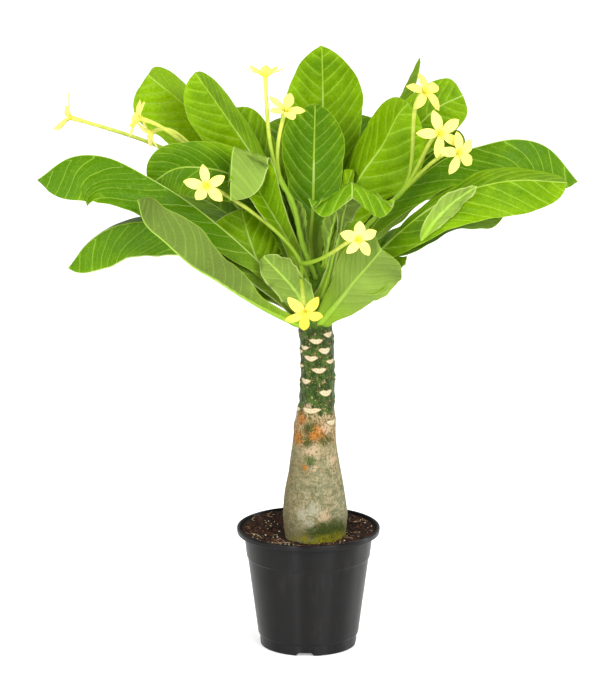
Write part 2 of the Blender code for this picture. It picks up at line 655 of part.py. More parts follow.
def star_grid(rings, segments):
    """A flat disc of points, with a middle point and rings at the radii 1, 2, 3 and so on."""
    bm = bmesh.new()
    bmesh.ops.create_circle(bm, cap_ends=True, cap_tris=True, segments=segments, radius=1.0)
    rim = [edge for edge in bm.edges if edge.is_boundary]
    for _ in range(rings - 1):
        grown = bmesh.ops.extrude_edge_only(bm, edges=rim)["geom"]
        rim = [part for part in grown if isinstance(part, bmesh.types.BMEdge) and part.is_boundary]
        for vertex in {vertex for edge in rim for vertex in edge.verts}:
            vertex.co *= 1.0 + 1.0 / vertex.co.length
    bmesh.ops.triangulate(bm, faces=bm.faces)
    bmesh.ops.recalc_face_normals(bm, faces=bm.faces)
    return bm


def build_corolla(name, flower, collection, material):
    """A five-pointed star whose rings reach out along the petals, dished at the throat."""
    mesh = bpy.data.meshes.new(name)
    bm = star_grid(len(PETAL_REACH), 4 * PETALS)
    bm.to_mesh(mesh)
    bm.free()
    grid = raw_points(mesh)
    ring = np.hypot(grid[:, 0], grid[:, 1])
    angle = np.arctan2(grid[:, 1], grid[:, 0])
    lobe = np.abs(np.cos(0.5 * PETALS * (angle - 0.5 * math.pi))) ** PETAL_NARROWING
    rings = range(len(PETAL_REACH) + 1)
    reach = np.interp(ring, rings, (0.0, *PETAL_REACH))
    notch = np.interp(ring, rings, (0.0, *PETAL_NOTCH))
    distance = notch + (reach - notch) * lobe
    dish = THROAT_DEPTH * (1.0 - np.clip(ring, 0.0, 1.0)) + PETAL_REFLEX * (distance / FLOWER_RADIUS) ** 2
    facing = direction(*flower["facing"])
    side = np.cross(facing, (0.0, 0.0, 1.0))
    side /= np.linalg.norm(side)
    up = np.cross(side, facing)
    across = distance * np.cos(angle)
    upward = distance * np.sin(angle)
    points = np.array(flower["centre"]) + across[:, None] * side + upward[:, None] * up
    set_points(mesh, points - dish[:, None] * facing)
    thing = add_object(name, mesh, collection, material)
    solidify = thing.modifiers.new("Thickness", "SOLIDIFY")
    solidify.thickness = PETAL_THICKNESS * MM
    solidify.offset = 0.0
    shade_smooth(mesh)


def main():
    clear_scene()
    plant = new_collection("potted_hawaiian_palm")
    pot_cutters = new_collection("pot_cutters")
    plant_cutters = new_collection("plant_cutters")
    plastic = new_material("black_plastic", (0.03, 0.032, 0.035), 0.42)
    peat = new_material("peat", (0.05, 0.03, 0.02), 0.95)
    bark = new_material("bark", (0.32, 0.30, 0.20), 0.8)
    green = new_material("leaf_green", (0.12, 0.34, 0.02), 0.45)
    light_green = new_material("young_leaf_green", (0.22, 0.42, 0.04), 0.45)
    tube_green = new_material("tube_green", (0.45, 0.58, 0.12), 0.5)
    yellow = new_material("petal_yellow", (0.95, 0.86, 0.22), 0.55)

    build_pot(plant, pot_cutters, plastic)
    stem_space = build_stem_space(plant_cutters)
    build_soil(plant, stem_space, peat)
    build_trunk(plant, bark)
    for number, leaf in enumerate(LEAVES, 1):
        build_leaf(f"leaf_{number:02d}", leaf, LEAF_GRID, plant, stem_space, green)
    for number, leaf in enumerate(YOUNG_LEAVES, 1):
        build_leaf(f"young_leaf_{number}", leaf, YOUNG_GRID, plant, stem_space, light_green)
    for spray in SPRAYS:
        build_spray("spray_" + spray["name"], spray, plant, stem_space, tube_green)
        for number, flower in enumerate(spray["flowers"], 1):
            build_corolla(f"corolla_{spray['name']}_{number}", flower, plant, yellow)


main()
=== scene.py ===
# A potted hawaiian palm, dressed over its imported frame: stem, leaves, flowers, soil and pot.
# Lengths are in millimetres and angles in degrees; mm turns lengths into Blender's metres.
import math

import bpy
import numpy as np
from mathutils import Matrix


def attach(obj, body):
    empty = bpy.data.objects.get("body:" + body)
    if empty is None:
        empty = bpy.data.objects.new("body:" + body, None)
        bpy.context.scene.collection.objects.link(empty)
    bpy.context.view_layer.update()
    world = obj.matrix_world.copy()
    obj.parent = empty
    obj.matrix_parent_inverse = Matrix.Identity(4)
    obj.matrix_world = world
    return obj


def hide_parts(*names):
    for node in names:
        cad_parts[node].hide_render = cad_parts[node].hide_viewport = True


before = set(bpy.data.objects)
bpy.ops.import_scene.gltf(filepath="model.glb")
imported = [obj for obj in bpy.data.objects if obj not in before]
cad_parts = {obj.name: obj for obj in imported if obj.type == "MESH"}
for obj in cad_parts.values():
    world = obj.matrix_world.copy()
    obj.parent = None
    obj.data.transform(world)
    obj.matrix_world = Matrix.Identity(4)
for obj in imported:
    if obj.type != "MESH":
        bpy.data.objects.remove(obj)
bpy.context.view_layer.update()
mm = 0.001
sharpAngle = 60.0
print("frame loaded:", len(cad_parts), "nodes")


# Small helpers

def smoothStep(t):
    # eases from 0 to 1: three t squared less two t cubed
    t = np.clip(t, 0.0, 1.0)
    return t * t * (3.0 - 2.0 * t)


def bell(x):
    # 1 at zero, falling off with the square
    return np.exp(-x ** 2)


def turnFrom(azimuth, start):
    # the turn from one azimuth to another, between a half turn back and a half turn on
    return (azimuth - start + 180.0) % 360.0 - 180.0


def circle(count):
    return np.linspace(0.0, 2.0 * np.pi, count, endpoint=False)


def spun(a, b, angle):
    # the pair turned within its plane by the angle
    cosine, sine = np.cos(angle), np.sin(angle)
    return a * cosine - b * sine, a * sine + b * cosine


def turned(radius, height, turn):
    # rings about the upright axis: the radius times the cosine and the sine of the turn, and the height
    radius, height = [np.reshape(value, (len(value), -1)) for value in (radius, height)]
    return np.stack(np.broadcast_arrays(radius * np.cos(turn), radius * np.sin(turn), height), -1)


def powerShape(x, base, tip):
    # a power of x times a power of 1 - x, scaled to 1 at its peak
    peak = base / (base + tip)
    return (x / peak) ** base * ((1.0 - x) / (1.0 - peak)) ** tip


def heading(azimuth, elevation=0.0):
    # unit vector: cosine and sine of the azimuth, both times the elevation's cosine, and its sine
    a, e = math.radians(azimuth), math.radians(elevation)
    return np.array([math.cos(e) * math.cos(a), math.cos(e) * math.sin(a), math.sin(e)])


def unit(vectors):
    # each vector divided by its own length
    return vectors / np.maximum(np.linalg.norm(vectors, axis=-1, keepdims=True), 1e-9)


def gridFaces(rows, columns, wrap=False):
    # the four-sided faces between neighbouring rows and columns; wrap joins the last column to the first
    row = np.arange(rows - 1)[:, None] * columns
    near = np.arange(columns if wrap else columns - 1)[None, :]
    far = (near + 1) % columns
    faces = np.stack([row + near, row + columns + near, row + columns + far, row + far], -1)
    return faces.reshape(-1, 4)


def thickSheet(upper, thickness, layers):
    # the upper grid, a lower one that lies deeper by the thickness and is turned over, and a strip of faces
    # round the edge that they share
    normal = unit(np.cross(np.gradient(upper, axis=0), np.gradient(upper, axis=1)))
    lower = upper - thickness[..., None] * normal
    rows, columns = upper.shape[:2]
    count = rows * columns
    index = np.arange(count).reshape(rows, columns)
    edge = np.concatenate([index[:-1, 0], index[-1, :-1], index[:0:-1, -1], index[0, :0:-1]])
    following = np.roll(edge, -1)
    rim = np.stack([following, edge, edge + count, following + count], -1)
    top = gridFaces(rows, columns)
    points = np.vstack([upper.reshape(-1, 3), lower.reshape(-1, 3)])
    both = {key: np.tile(np.broadcast_to(value, (rows, columns)).ravel(), 2) for key, value in layers.items()}
    both["underside"] = np.repeat([0.0, 1.0], count)
    return dict(points=points, faces=[np.vstack([top, top[:, ::-1] + count, rim])], layers=both)


def closedTube(rings, layers=None):
    # rings of points joined lengthwise, with a fan of triangles to a middle point at each end
    rows, columns = rings.shape[:2]
    count = rows * columns
    near = np.arange(columns)
    far = (near + 1) % columns
    start, end = np.full(columns, count), np.full(columns, count + 1)
    last = count - columns
    caps = np.vstack([np.stack([start, near, far], -1), np.stack([end, last + far, last + near], -1)])
    points = np.vstack([rings.reshape(-1, 3), rings[0].mean(0), rings[-1].mean(0)])
    full = {}
    for key, value in (layers or {}).items():
        value = np.broadcast_to(value, (rows, columns))
        full[key] = np.concatenate([value.ravel(), [value[0].mean(), value[-1].mean()]])
    return dict(points=points, faces=[gridFaces(rows, columns, True), caps], layers=full)


def closedRing(rings):
    # rings of points joined lengthwise, and the last of them to the first
    rows, columns = rings.shape[:2]
    faces = gridFaces(rows + 1, columns, True) % (rows * columns)
    return dict(points=rings.reshape(-1, 3), faces=[faces], layers={})


def joined(shapes):
    # one shape from several: points one after another, and face numbers moved on to match
    points, faces, layers, offset = [], [], {}, 0
    for shape in shapes:
        points.append(shape["points"])
        faces += [part + offset for part in shape["faces"]]
        offset += len(shape["points"])
        for key, value in shape["layers"].items():
            layers.setdefault(key, []).append(value)
    return dict(points=np.vstack(points), faces=faces,
                layers={key: np.concatenate(value) for key, value in layers.items()})


def addObject(name, data):
    thing = bpy.data.objects.new(name, data)
    bpy.context.scene.collection.objects.link(thing)
    return thing


def addPiece(name, shape, material, node):
    # the shape's arrays go into a mesh in metres; each layer becomes a number kept on the points
    mesh = bpy.data.meshes.new(name)
    sizes = np.concatenate([np.full(len(part), part.shape[1]) for part in shape["faces"]])
    corners = np.concatenate([part.ravel() for part in shape["faces"]])
    mesh.vertices.add(len(shape["points"]))
    mesh.loops.add(len(corners))
    mesh.polygons.add(len(sizes))
    mesh.vertices.foreach_set("co", (shape["points"] * mm).astype(np.float32).ravel())
    mesh.loops.foreach_set("vertex_index", corners.astype(np.int32))
    mesh.polygons.foreach_set("loop_start", (np.cumsum(sizes) - sizes).astype(np.int32))
    mesh.update(calc_edges=True)
    mesh.validate()
    for key, value in shape["layers"].items():
        layer = mesh.attributes.new(key, "FLOAT", "POINT")
        layer.data.foreach_set("value", value.astype(np.float32))
    mesh.shade_smooth()
    mesh.set_sharp_from_angle(angle=math.radians(sharpAngle))
    mesh.materials.append(material)
    piece = addObject(name, mesh)
    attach(piece, "root")
    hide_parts(node)
    return piece


def sweep(path, radii, sides):
    # a circle of the given radius about each point of the path, square to the path there
    tangent = unit(np.gradient(path, axis=0))
    guide = np.eye(3)[np.argmin(np.abs(tangent).max(0))]
    side = unit(np.cross(tangent, guide))
    up = np.cross(side, tangent)
    turn = circle(sides)[None, :, None]
    spokes = np.cos(turn) * side[:, None] + np.sin(turn) * up[:, None]
    return path[:, None] - np.asarray(radii)[:, None, None] * spokes


def runAlong(path):
    # how far along the path each of its points lies
    return np.concatenate([[0.0], np.cumsum(np.linalg.norm(np.diff(path, axis=0), axis=1))])


def evenPath(fine, spacing):
    # the same curve read at equal steps of its length
    run = runAlong(fine)
    places = np.linspace(0.0, run[-1], max(3, int(round(run[-1] / spacing))) + 1)
    return np.stack([np.interp(places, run, fine[:, k]) for k in range(3)], -1)


def smoothPath(points, spacing):
    # Catmull-Rom curve: each stretch is a cubic whose ends run along the line between the neighbouring points
    ends = np.array([2.0 * points[0] - points[1], *points, 2.0 * points[-1] - points[-2]])
    a, b, c, d = ends[:-3, None], ends[1:-2, None], ends[2:-1, None], ends[3:, None]
    t = np.linspace(0.0, 1.0, 20, endpoint=False)[None, :, None]
    curve = 2.0 * b + (c - a) * t + (2.0 * a - 5.0 * b + 4.0 * c - d) * t ** 2
    curve = 0.5 * (curve + (3.0 * b - a - 3.0 * c + d) * t ** 3)
    return evenPath(np.vstack([curve.reshape(-1, 3), points[-1]]), spacing)


def roundCorners(profile, reach, steps=5):
    # each corner of a closed outline becomes a short curve: a quadratic Bezier with the corner as its handle
    corner = np.array(profile, float)
    before, after = np.roll(corner, 1, 0) - corner, np.roll(corner, -1, 0) - corner
    cut = [way * np.minimum(reach / np.linalg.norm(way, axis=1), 0.45)[:, None] for way in (before, after)]
    start, end = corner + cut[0], corner + cut[1]
    t = np.linspace(0.0, 1.0, steps)[None, :, None]
    curve = (1 - t) ** 2 * start[:, None] + 2 * (1 - t) * t * corner[:, None] + t ** 2 * end[:, None]
    return curve.reshape(-1, 2)


# Materials

class Surface:
    # a material with the nodes that feed its shader
    def __init__(self, name, roughness, specular):
        self.material = bpy.data.materials.new(name)
        self.material.use_nodes = True
        self.tree = self.material.node_tree
        self.shader = self.tree.nodes["Principled BSDF"]
        self.shader.inputs["Roughness"].default_value = roughness
        self.shader.inputs["Specular IOR Level"].default_value = specular

    def add(self, kind, inputs, **settings):
        # inputs gives each socket's number or name, and the value or the other socket that feeds it
        node = self.tree.nodes.new(kind)
        for key, value in settings.items():
            setattr(node, key, value)
        for key, value in inputs.items():
            if isinstance(value, bpy.types.NodeSocket):
                self.tree.links.new(value, node.inputs[key])
            else:
                node.inputs[key].default_value = value
        return node

    def feed(self, socket, value):
        self.tree.links.new(value, self.shader.inputs[socket])

    def layer(self, name):
        # the number that the mesh keeps on its points under this name
        return self.add("ShaderNodeAttribute", {}, attribute_name=name).outputs["Fac"]

    def calc(self, operation, a, b=0.0):
        return self.add("ShaderNodeMath", {0: a, 1: b}, operation=operation).outputs[0]

    def total(self, first, *others):
        for value in others:
            first = self.calc("ADD", first, value)
        return first

    def product(self, first, *others):
        for value in others:
            first = self.calc("MULTIPLY", first, value)
        return first

    def broken(self, name, pattern, gain):
        # a layer with an uneven edge: the layer plus the gain times the pattern less one half
        return self.total(self.layer(name), self.product(self.calc("SUBTRACT", pattern, 0.5), gain))

    def ease(self, value, low, high, start=0.0, end=1.0):
        # runs smoothly from start to end while the value runs from low to high
        inputs = {"Value": value, "From Min": low, "From Max": high, "To Min": start, "To Max": end}
        return self.add("ShaderNodeMapRange", inputs, interpolation_type="SMOOTHSTEP").outputs["Result"]

    def layered(self, colour, *steps):
        # each step lays another colour over the last one, by a share that is its value or its eased value
        for value, *ends, over in steps:
            share = self.ease(value, *ends) if ends else value
            a, b = [(*part, 1.0) if isinstance(part, tuple) else part for part in (colour, over)]
            colour = self.add("ShaderNodeMix", {0: share, 6: a, 7: b}, data_type="RGBA").outputs[2]
        return colour

    def place(self, stretch=(1.0, 1.0, 1.0)):
        place = self.add("ShaderNodeTexCoord", {}).outputs["Object"]
        return self.add("ShaderNodeMapping", {"Vector": place, "Scale": stretch}).outputs["Vector"]

    def noise(self, scale, detail=3.0, roughness=0.55, stretch=(1.0, 1.0, 1.0)):
        inputs = {"Vector": self.place(stretch), "Scale": scale, "Detail": detail, "Roughness": roughness}
        return self.add("ShaderNodeTexNoise", inputs).outputs["Fac"]

    def cells(self, scale, feature="DISTANCE_TO_EDGE"):
        inputs = {"Vector": self.place(), "Scale": scale}
        return self.add("ShaderNodeTexVoronoi", inputs, feature=feature).outputs["Distance"]

    def bump(self, height, distance, strength):
        inputs = {"Height": height, "Distance": distance * mm, "Strength": strength}
        self.feed("Normal", self.add("ShaderNodeBump", inputs).outputs["Normal"])


# Camera, lights and floor
studio = {
    "elevation": 14.6, "distance": 5000.0, "aim": (-7.6, 0.0, 283.0), "lens": 292.8,
    "farthest": 50000.0, "surroundings": 0.42, "floorColour": (0.9, 0.9, 0.9), "floorGlow": 0.3,
    "floorHalfSize": 14000.0, "floorDrop": 0.6, "sunDistance": 2000.0,
    # azimuth, elevation, apparent width in degrees and strength of each soft sun
    "suns": (
        (-62.0, 32.0, 36.0, 2.1),
        (-140.0, 30.0, 42.0, 1.4),
        (60.0, 58.0, 30.0, 0.8),
    ),
    # azimuth, elevation, distance, width, height and power of each strip light
    "strips": (
        (-113.0, 16.0, 1300.0, 60.0, 1300.0, 8.0),
        (-50.0, 14.0, 1500.0, 70.0, 1300.0, 5.0),
        (14.0, 16.0, 1300.0, 90.0, 1300.0, 8.0),
    ),
}


def addLamp(name, kind, azimuth, elevation, distance, energy):
    # a light that shines on the aim from that side
    light = bpy.data.lights.new(name, kind)
    light.energy = energy
    lamp = addObject(name, light)
    lamp.location = (np.array(studio["aim"]) + heading(azimuth, elevation) * distance) * mm
    lamp.rotation_euler = (math.radians(90.0 - elevation), 0.0, math.radians(azimuth + 90.0))
    return light


def buildStudio():
    scene = bpy.context.scene
    camera = addObject("camera", bpy.data.cameras.new("camera"))
    away = heading(-90.0, studio["elevation"]) * studio["distance"]
    camera.location = (np.array(studio["aim"]) + away) * mm
    camera.rotation_euler = (math.radians(90.0 - studio["elevation"]), 0.0, 0.0)
    camera.data.lens = studio["lens"]
    camera.data.clip_end = studio["farthest"] * mm
    scene.camera = camera
    world = bpy.data.worlds.new("surroundings")
    world.use_nodes = True
    background = world.node_tree.nodes["Background"]
    background.inputs["Color"].default_value = (1.0, 1.0, 1.0, 1.0)
    background.inputs["Strength"].default_value = studio["surroundings"]
    scene.world = world
    scene.view_settings.view_transform = "Standard"
    for azimuth, elevation, spread, strength in studio["suns"]:
        light = addLamp("softSun", "SUN", azimuth, elevation, studio["sunDistance"], strength)
        light.angle = math.radians(spread)
    for azimuth, elevation, distance, width, height, power in studio["strips"]:
        light = addLamp("stripLight", "AREA", azimuth, elevation, distance, power)
        light.shape = "RECTANGLE"
        light.size = width * mm
        light.size_y = height * mm
    side, drop = studio["floorHalfSize"] * mm, -studio["floorDrop"] * mm
    mesh = bpy.data.meshes.new("floor")
    corners = [(-side, -side, drop), (side, -side, drop), (side, side, drop), (-side, side, drop)]
    mesh.from_pydata(corners, [], [(0, 1, 2, 3)])
    surface = Surface("paleFloor", 0.8, 0.2)
    surface.shader.inputs["Base Color"].default_value = (*studio["floorColour"], 1.0)
    surface.shader.inputs["Emission Color"].default_value = (1.0, 1.0, 1.0, 1.0)
    surface.shader.inputs["Emission Strength"].default_value = studio["floorGlow"]
    mesh.materials.append(surface.material)
    addObject("floor", mesh)


buildStudio()
print("studio ready")


# Pot
pot = {
    "height": 110.0, "rim": 65.0, "rimDrop": 5.5, "throat": 58.5, "step": 56.0, "stepHeight": 82.0,
    "inset": 0.9, "base": 45.5, "footTop": 10.5, "foot": 44.0, "footWall": 2.0, "wall": 1.2, "lift": 3.0,
    "pad": 12.0, "notchTurns": (-94.0, -4.0, 86.0, 176.0), "notchTop": 11.3, "notchBottom": 16.8,
    "notchHeight": 2.8, "drains": 8, "drainRadius": 4.5, "drainCircle": 30.0, "sectors": 240,
    "lip": 2.4, "softening": 0.9, "colour": (0.0038, 0.0032, 0.0031), "scuffColour": (0.0085, 0.0076, 0.0074),
    "grain": 0.9,
}


def wallStations():
    # where the pot's wall changes its slope: the height, and the outer radius there
    p = pot
    return np.array([
        (p["footTop"] - 0.5, p["foot"]),
        (p["footTop"] + 0.7, p["base"]),
        (p["stepHeight"], p["step"] - p["inset"]),
        (p["stepHeight"] + 1.0, p["step"]),
        (p["height"], p["throat"] + 0.4),
    ])


def innerRadius(height):
    # the inside of the pot's wall: its outer radius at that height, read from the stations, less the wall
    stations = wallStations()
    return np.interp(height, stations[:, 0], stations[:, 1]) - pot["wall"]


def plasticMaterial():
    s = Surface("blackPlastic", 0.4, 0.2)
    streaks = s.noise(220.0, 4.0, stretch=(1.0, 1.0, 0.06))
    blotches = s.noise(26.0)
    dust = s.product(streaks, blotches)
    s.feed("Base Color", s.layered(pot["colour"], (dust, 0.26, 0.46, pot["scuffColour"])))
    s.feed("Roughness", s.ease(blotches, 0.3, 0.7, 0.38, 0.44))
    s.bump(s.total(streaks, s.product(blotches, 2.0)), 0.05, 0.35)
    # drawn plastic: its gloss is narrow around the pot and long up and down it
    s.shader.inputs["Anisotropic"].default_value = pot["grain"]
    s.shader.inputs["Anisotropic Rotation"].default_value = 0.25
    around = s.add("ShaderNodeTangent", {}, direction_type="RADIAL", axis="Z")
    s.feed("Tangent", around.outputs["Tangent"])
    return s.material


def buildPot():
    p = pot
    top, low = p["height"], p["height"] - p["rimDrop"]
    floorTop = p["lift"] + p["wall"]
    inside = [(innerRadius(z), z) for z in (floorTop, *wallStations()[:-1, 0], low - 0.4)]
    lip = p["rim"] - p["lip"]
    rim = [(p["throat"] - 0.2, low + 0.8), (lip - 0.8, low + 1.4), (lip, top), (p["rim"] - 0.8, top),
           (p["rim"], top - 1.0), (p["rim"] - 0.4, low), (p["throat"] + 1.0, low)]
    outside = [(p["throat"], low), (p["step"], p["stepHeight"] + 1.0),
               (p["step"] - p["inset"], p["stepHeight"]), (p["base"], p["footTop"]),
               (p["foot"], p["footTop"] - 0.7), (p["foot"] - 0.2, 0.0),
               (p["foot"] - p["footWall"], 0.0), (p["foot"] - p["footWall"], p["lift"])]
    outline = roundCorners(inside + rim + outside, p["softening"])
    # the outline turned about the pot's axis; inside each notch the foot's lower edge is lifted
    turn = circle(p["sectors"])
    radius = outline[:, 0][:, None] * np.ones_like(turn)
    height = outline[:, 1][:, None] * np.ones_like(turn)
    for azimuth in p["notchTurns"]:
        across = np.abs(np.radians(turnFrom(np.degrees(turn), azimuth))) * p["foot"] * 2.0
        share = np.clip((p["notchBottom"] - across) / (p["notchBottom"] - p["notchTop"]), 0, 1)
        inFoot = radius > p["foot"] - p["footWall"] - 0.5
        height = np.where(inFoot, np.maximum(height, p["notchHeight"] * share), height)
    rings = np.stack([radius * np.cos(turn), radius * np.sin(turn), height], -1)
    # the floor is a flat disc with a middle that reaches the ground and a ring of drain holes
    out, pad = innerRadius(floorTop) + 0.2, p["pad"]
    disc = np.array([(0.5, p["wall"]), (pad - 1.5, p["wall"]), (pad + 0.5, floorTop), (out, floorTop),
                     (out, p["lift"]), (pad, p["lift"]), (pad - 1.0, 0.0), (0.5, 0.0)])
    plastic = plasticMaterial()
    addPiece("potWall", closedRing(rings), plastic, "pot")
    return addPiece("potFloor", closedTube(turned(disc[:, 0], disc[:, 1], turn)), plastic, "pot")


def drillFloor(base):
    # round holes on a circle, cut with cylinders that are then thrown away
    for index in range(pot["drains"]):
        place = heading(360.0 * (index + 0.5) / pot["drains"]) * pot["drainCircle"]
        path = place + np.array([[0.0, 0.0, -5.0], [0.0, 0.0, 5.0], [0.0, 0.0, 15.0]])
        shape = closedTube(sweep(path, [pot["drainRadius"]] * 3, 32))
        mesh = bpy.data.meshes.new("drill")
        faces = [list(face) for part in shape["faces"] for face in part]
        mesh.from_pydata((shape["points"] * mm).tolist(), [], faces)
        drill = addObject("drill", mesh)
        boolean = base.modifiers.new("Drain", "BOOLEAN")
        boolean.object = drill
        seen = base.evaluated_get(bpy.context.evaluated_depsgraph_get())
        old, base.data = base.data, bpy.data.meshes.new_from_object(seen)
        base.modifiers.clear()
        bpy.data.meshes.remove(old)
        bpy.data.objects.remove(drill)
        bpy.data.meshes.remove(mesh)
    base.data.name = "potFloor"


drillFloor(buildPot())
print("pot built")


# Stem
stem = {
    # height, sideways lean and radius, from the buried end to the growing point
    "stations": (
        (70.0, 6.0, 21.0), (84.0, 6.0, 25.0), (100.0, 6.0, 27.5), (123.0, 6.0, 29.2), (138.0, 5.8, 27.6),
        (154.0, 5.6, 24.9), (177.0, 5.6, 21.4), (197.0, 5.8, 18.6), (207.0, 6.0, 18.2), (225.0, 7.6, 15.8),
        (249.0, 8.6, 15.2), (273.0, 8.0, 14.8), (300.0, 6.4, 14.6), (318.0, 6.6, 13.6), (340.0, 7.4, 10.5),
        (352.0, 8.0, 7.5), (358.0, 8.0, 3.5),
    ),
    "sectors": 220, "ringStep": 0.75, "smoothing": 8, "seed": 11, "folds": 0.42, "ribs": 9.0,
    "ribsFrom": 108.0,
    # height of the scars' cushions, depth of their dish, and height of the rust, the buff lumps and the crust
    "reliefs": (1.7, 0.45, 0.7, 0.5, 0.6),
    # heights at which the bark changes: the crust's band and its run, and where the others begin
    "crustBand": (182.0, 227.0, 18.0), "youngFrom": 196.0, "growingFrom": 296.0, "yellowMossTop": 116.0,
    # height and spread of the grey band; azimuth, spread and top of the brown side; azimuth, height, spread
    # and rise of the moss
    "greyBand": (150.0, 26.0), "brownSide": (205.0, 42.0, 190.0), "moss": (-62.0, 103.0, 66.0, 19.0),
    # azimuth, height, width and depth of each leaf scar; the first thirteen are those in view
    "scars": (
        (-42, 293, 12, 6), (-91, 288, 13, 6), (-136, 281, 11, 5), (-62, 279, 13, 7), (-113, 272, 14, 6),
        (-41, 268, 11, 5), (-158, 263, 9, 4), (-85, 261, 14, 6), (-135, 250, 12, 6), (-4, 251, 9, 5),
        (-61, 240, 14, 7), (-108, 224, 19, 6), (-40, 212, 13, 6),
        (12, 286, 12, 6), (68, 290, 12, 6), (120, 284, 12, 6), (168, 291, 12, 6), (40, 275, 13, 6),
        (94, 270, 13, 6), (146, 273, 12, 6), (194, 276, 11, 5), (18, 262, 12, 5), (70, 256, 13, 6),
        (122, 258, 13, 6), (172, 246, 12, 6), (44, 244, 13, 6), (96, 238, 14, 6), (148, 232, 13, 6),
        (10, 230, 13, 6), (70, 222, 15, 6), (124, 214, 14, 6), (186, 222, 14, 6), (30, 210, 14, 6),
    ),
    # azimuth, height and spread of the coloured patches on the bark
    "rust": ((-137, 215, 6), (-79, 204, 7), (-92, 200, 5), (-144, 196, 7), (-113, 171, 3),
             (60, 206, 7), (120, 198, 6), (174, 204, 6)),
    "greenSpots": ((-104, 206, 8), (-102, 177, 6), (-60, 196, 7), (-110, 194, 6), (20, 190, 6),
                   (100, 190, 7)),
    "buff": ((-92, 186, 5), (-106, 185, 4), (-90, 171, 3), (-55, 207, 7), (-120, 224, 6), (-72, 125, 7),
             (150, 168, 6), (-40, 176, 6)),
    "chalk": ((-100, 120, 8), (-94, 133, 10), (-112, 128, 9), (40, 136, 8), (160, 120, 8)),
}


def stemAt(height):
    # sideways lean and radius, read off straight lines between the stations
    table = np.array(stem["stations"])
    return np.interp(height, table[:, 0], table[:, 1]), np.interp(height, table[:, 0], table[:, 2])


def stemPatch(azimuth, height, spots):
    # the greatest of several round bumps, each falling off with the square of the distance along the skin
    radius = stemAt(height)[1]
    best = np.zeros(np.broadcast(azimuth, height).shape)
    for spotAzimuth, spotHeight, spread in spots:
        along = np.radians(turnFrom(azimuth, spotAzimuth)) * radius
        distance = (along ** 2 + (height - spotHeight) ** 2) / spread ** 2
        best = np.maximum(best, np.exp(-distance))
    return best


def scarForm(azimuth, height):
    # a scar is pointed at both sides, with two low arches above and one deep one below; s is the share of its
    # half width and bell falls off with the square. The results are how deep a point lies within a scar, the
    # cushion that carries it, its drawn-out tails, and its strand marks
    radius = stemAt(height)[1]
    inside = np.full(np.broadcast(azimuth, height).shape, -1.0)
    swell, tail, spot = np.zeros_like(inside), np.zeros_like(inside), np.zeros_like(inside)
    for scarAzimuth, scarHeight, width, depth in stem["scars"]:
        along = np.radians(turnFrom(azimuth, scarAzimuth)) * radius
        s = np.clip(np.abs(along) / (0.5 * width), 0.0, 2.0)
        up = height - scarHeight
        arch = np.clip(1.0 - s ** 2, 0.0, 1.0)
        top = 0.34 * depth * arch * (1.0 - 0.45 * bell(s / 0.3))
        low = -0.62 * depth * arch ** 1.15
        within = np.minimum(np.minimum(top - up, up - low), 0.5 * width * (1.0 - s))
        inside = np.maximum(inside, within)
        swell = np.maximum(swell, bell(s) * bell((up + 0.6) / (0.75 * depth)))
        line = bell((up - 0.12 * depth) / 0.7) * smoothStep((1.7 - s) / 0.5) * smoothStep((s - 0.7) / 0.3)
        tail = np.maximum(tail, line)
        bead = bell((up + 0.12 * depth) / (0.16 * depth)) * bell((s - 0.34) / 0.14)
        middle = bell((up + 0.22 * depth) / (0.18 * depth)) * bell(s / 0.16)
        spot = np.maximum(spot, np.maximum(bead, middle))
    return inside, swell, tail, spot


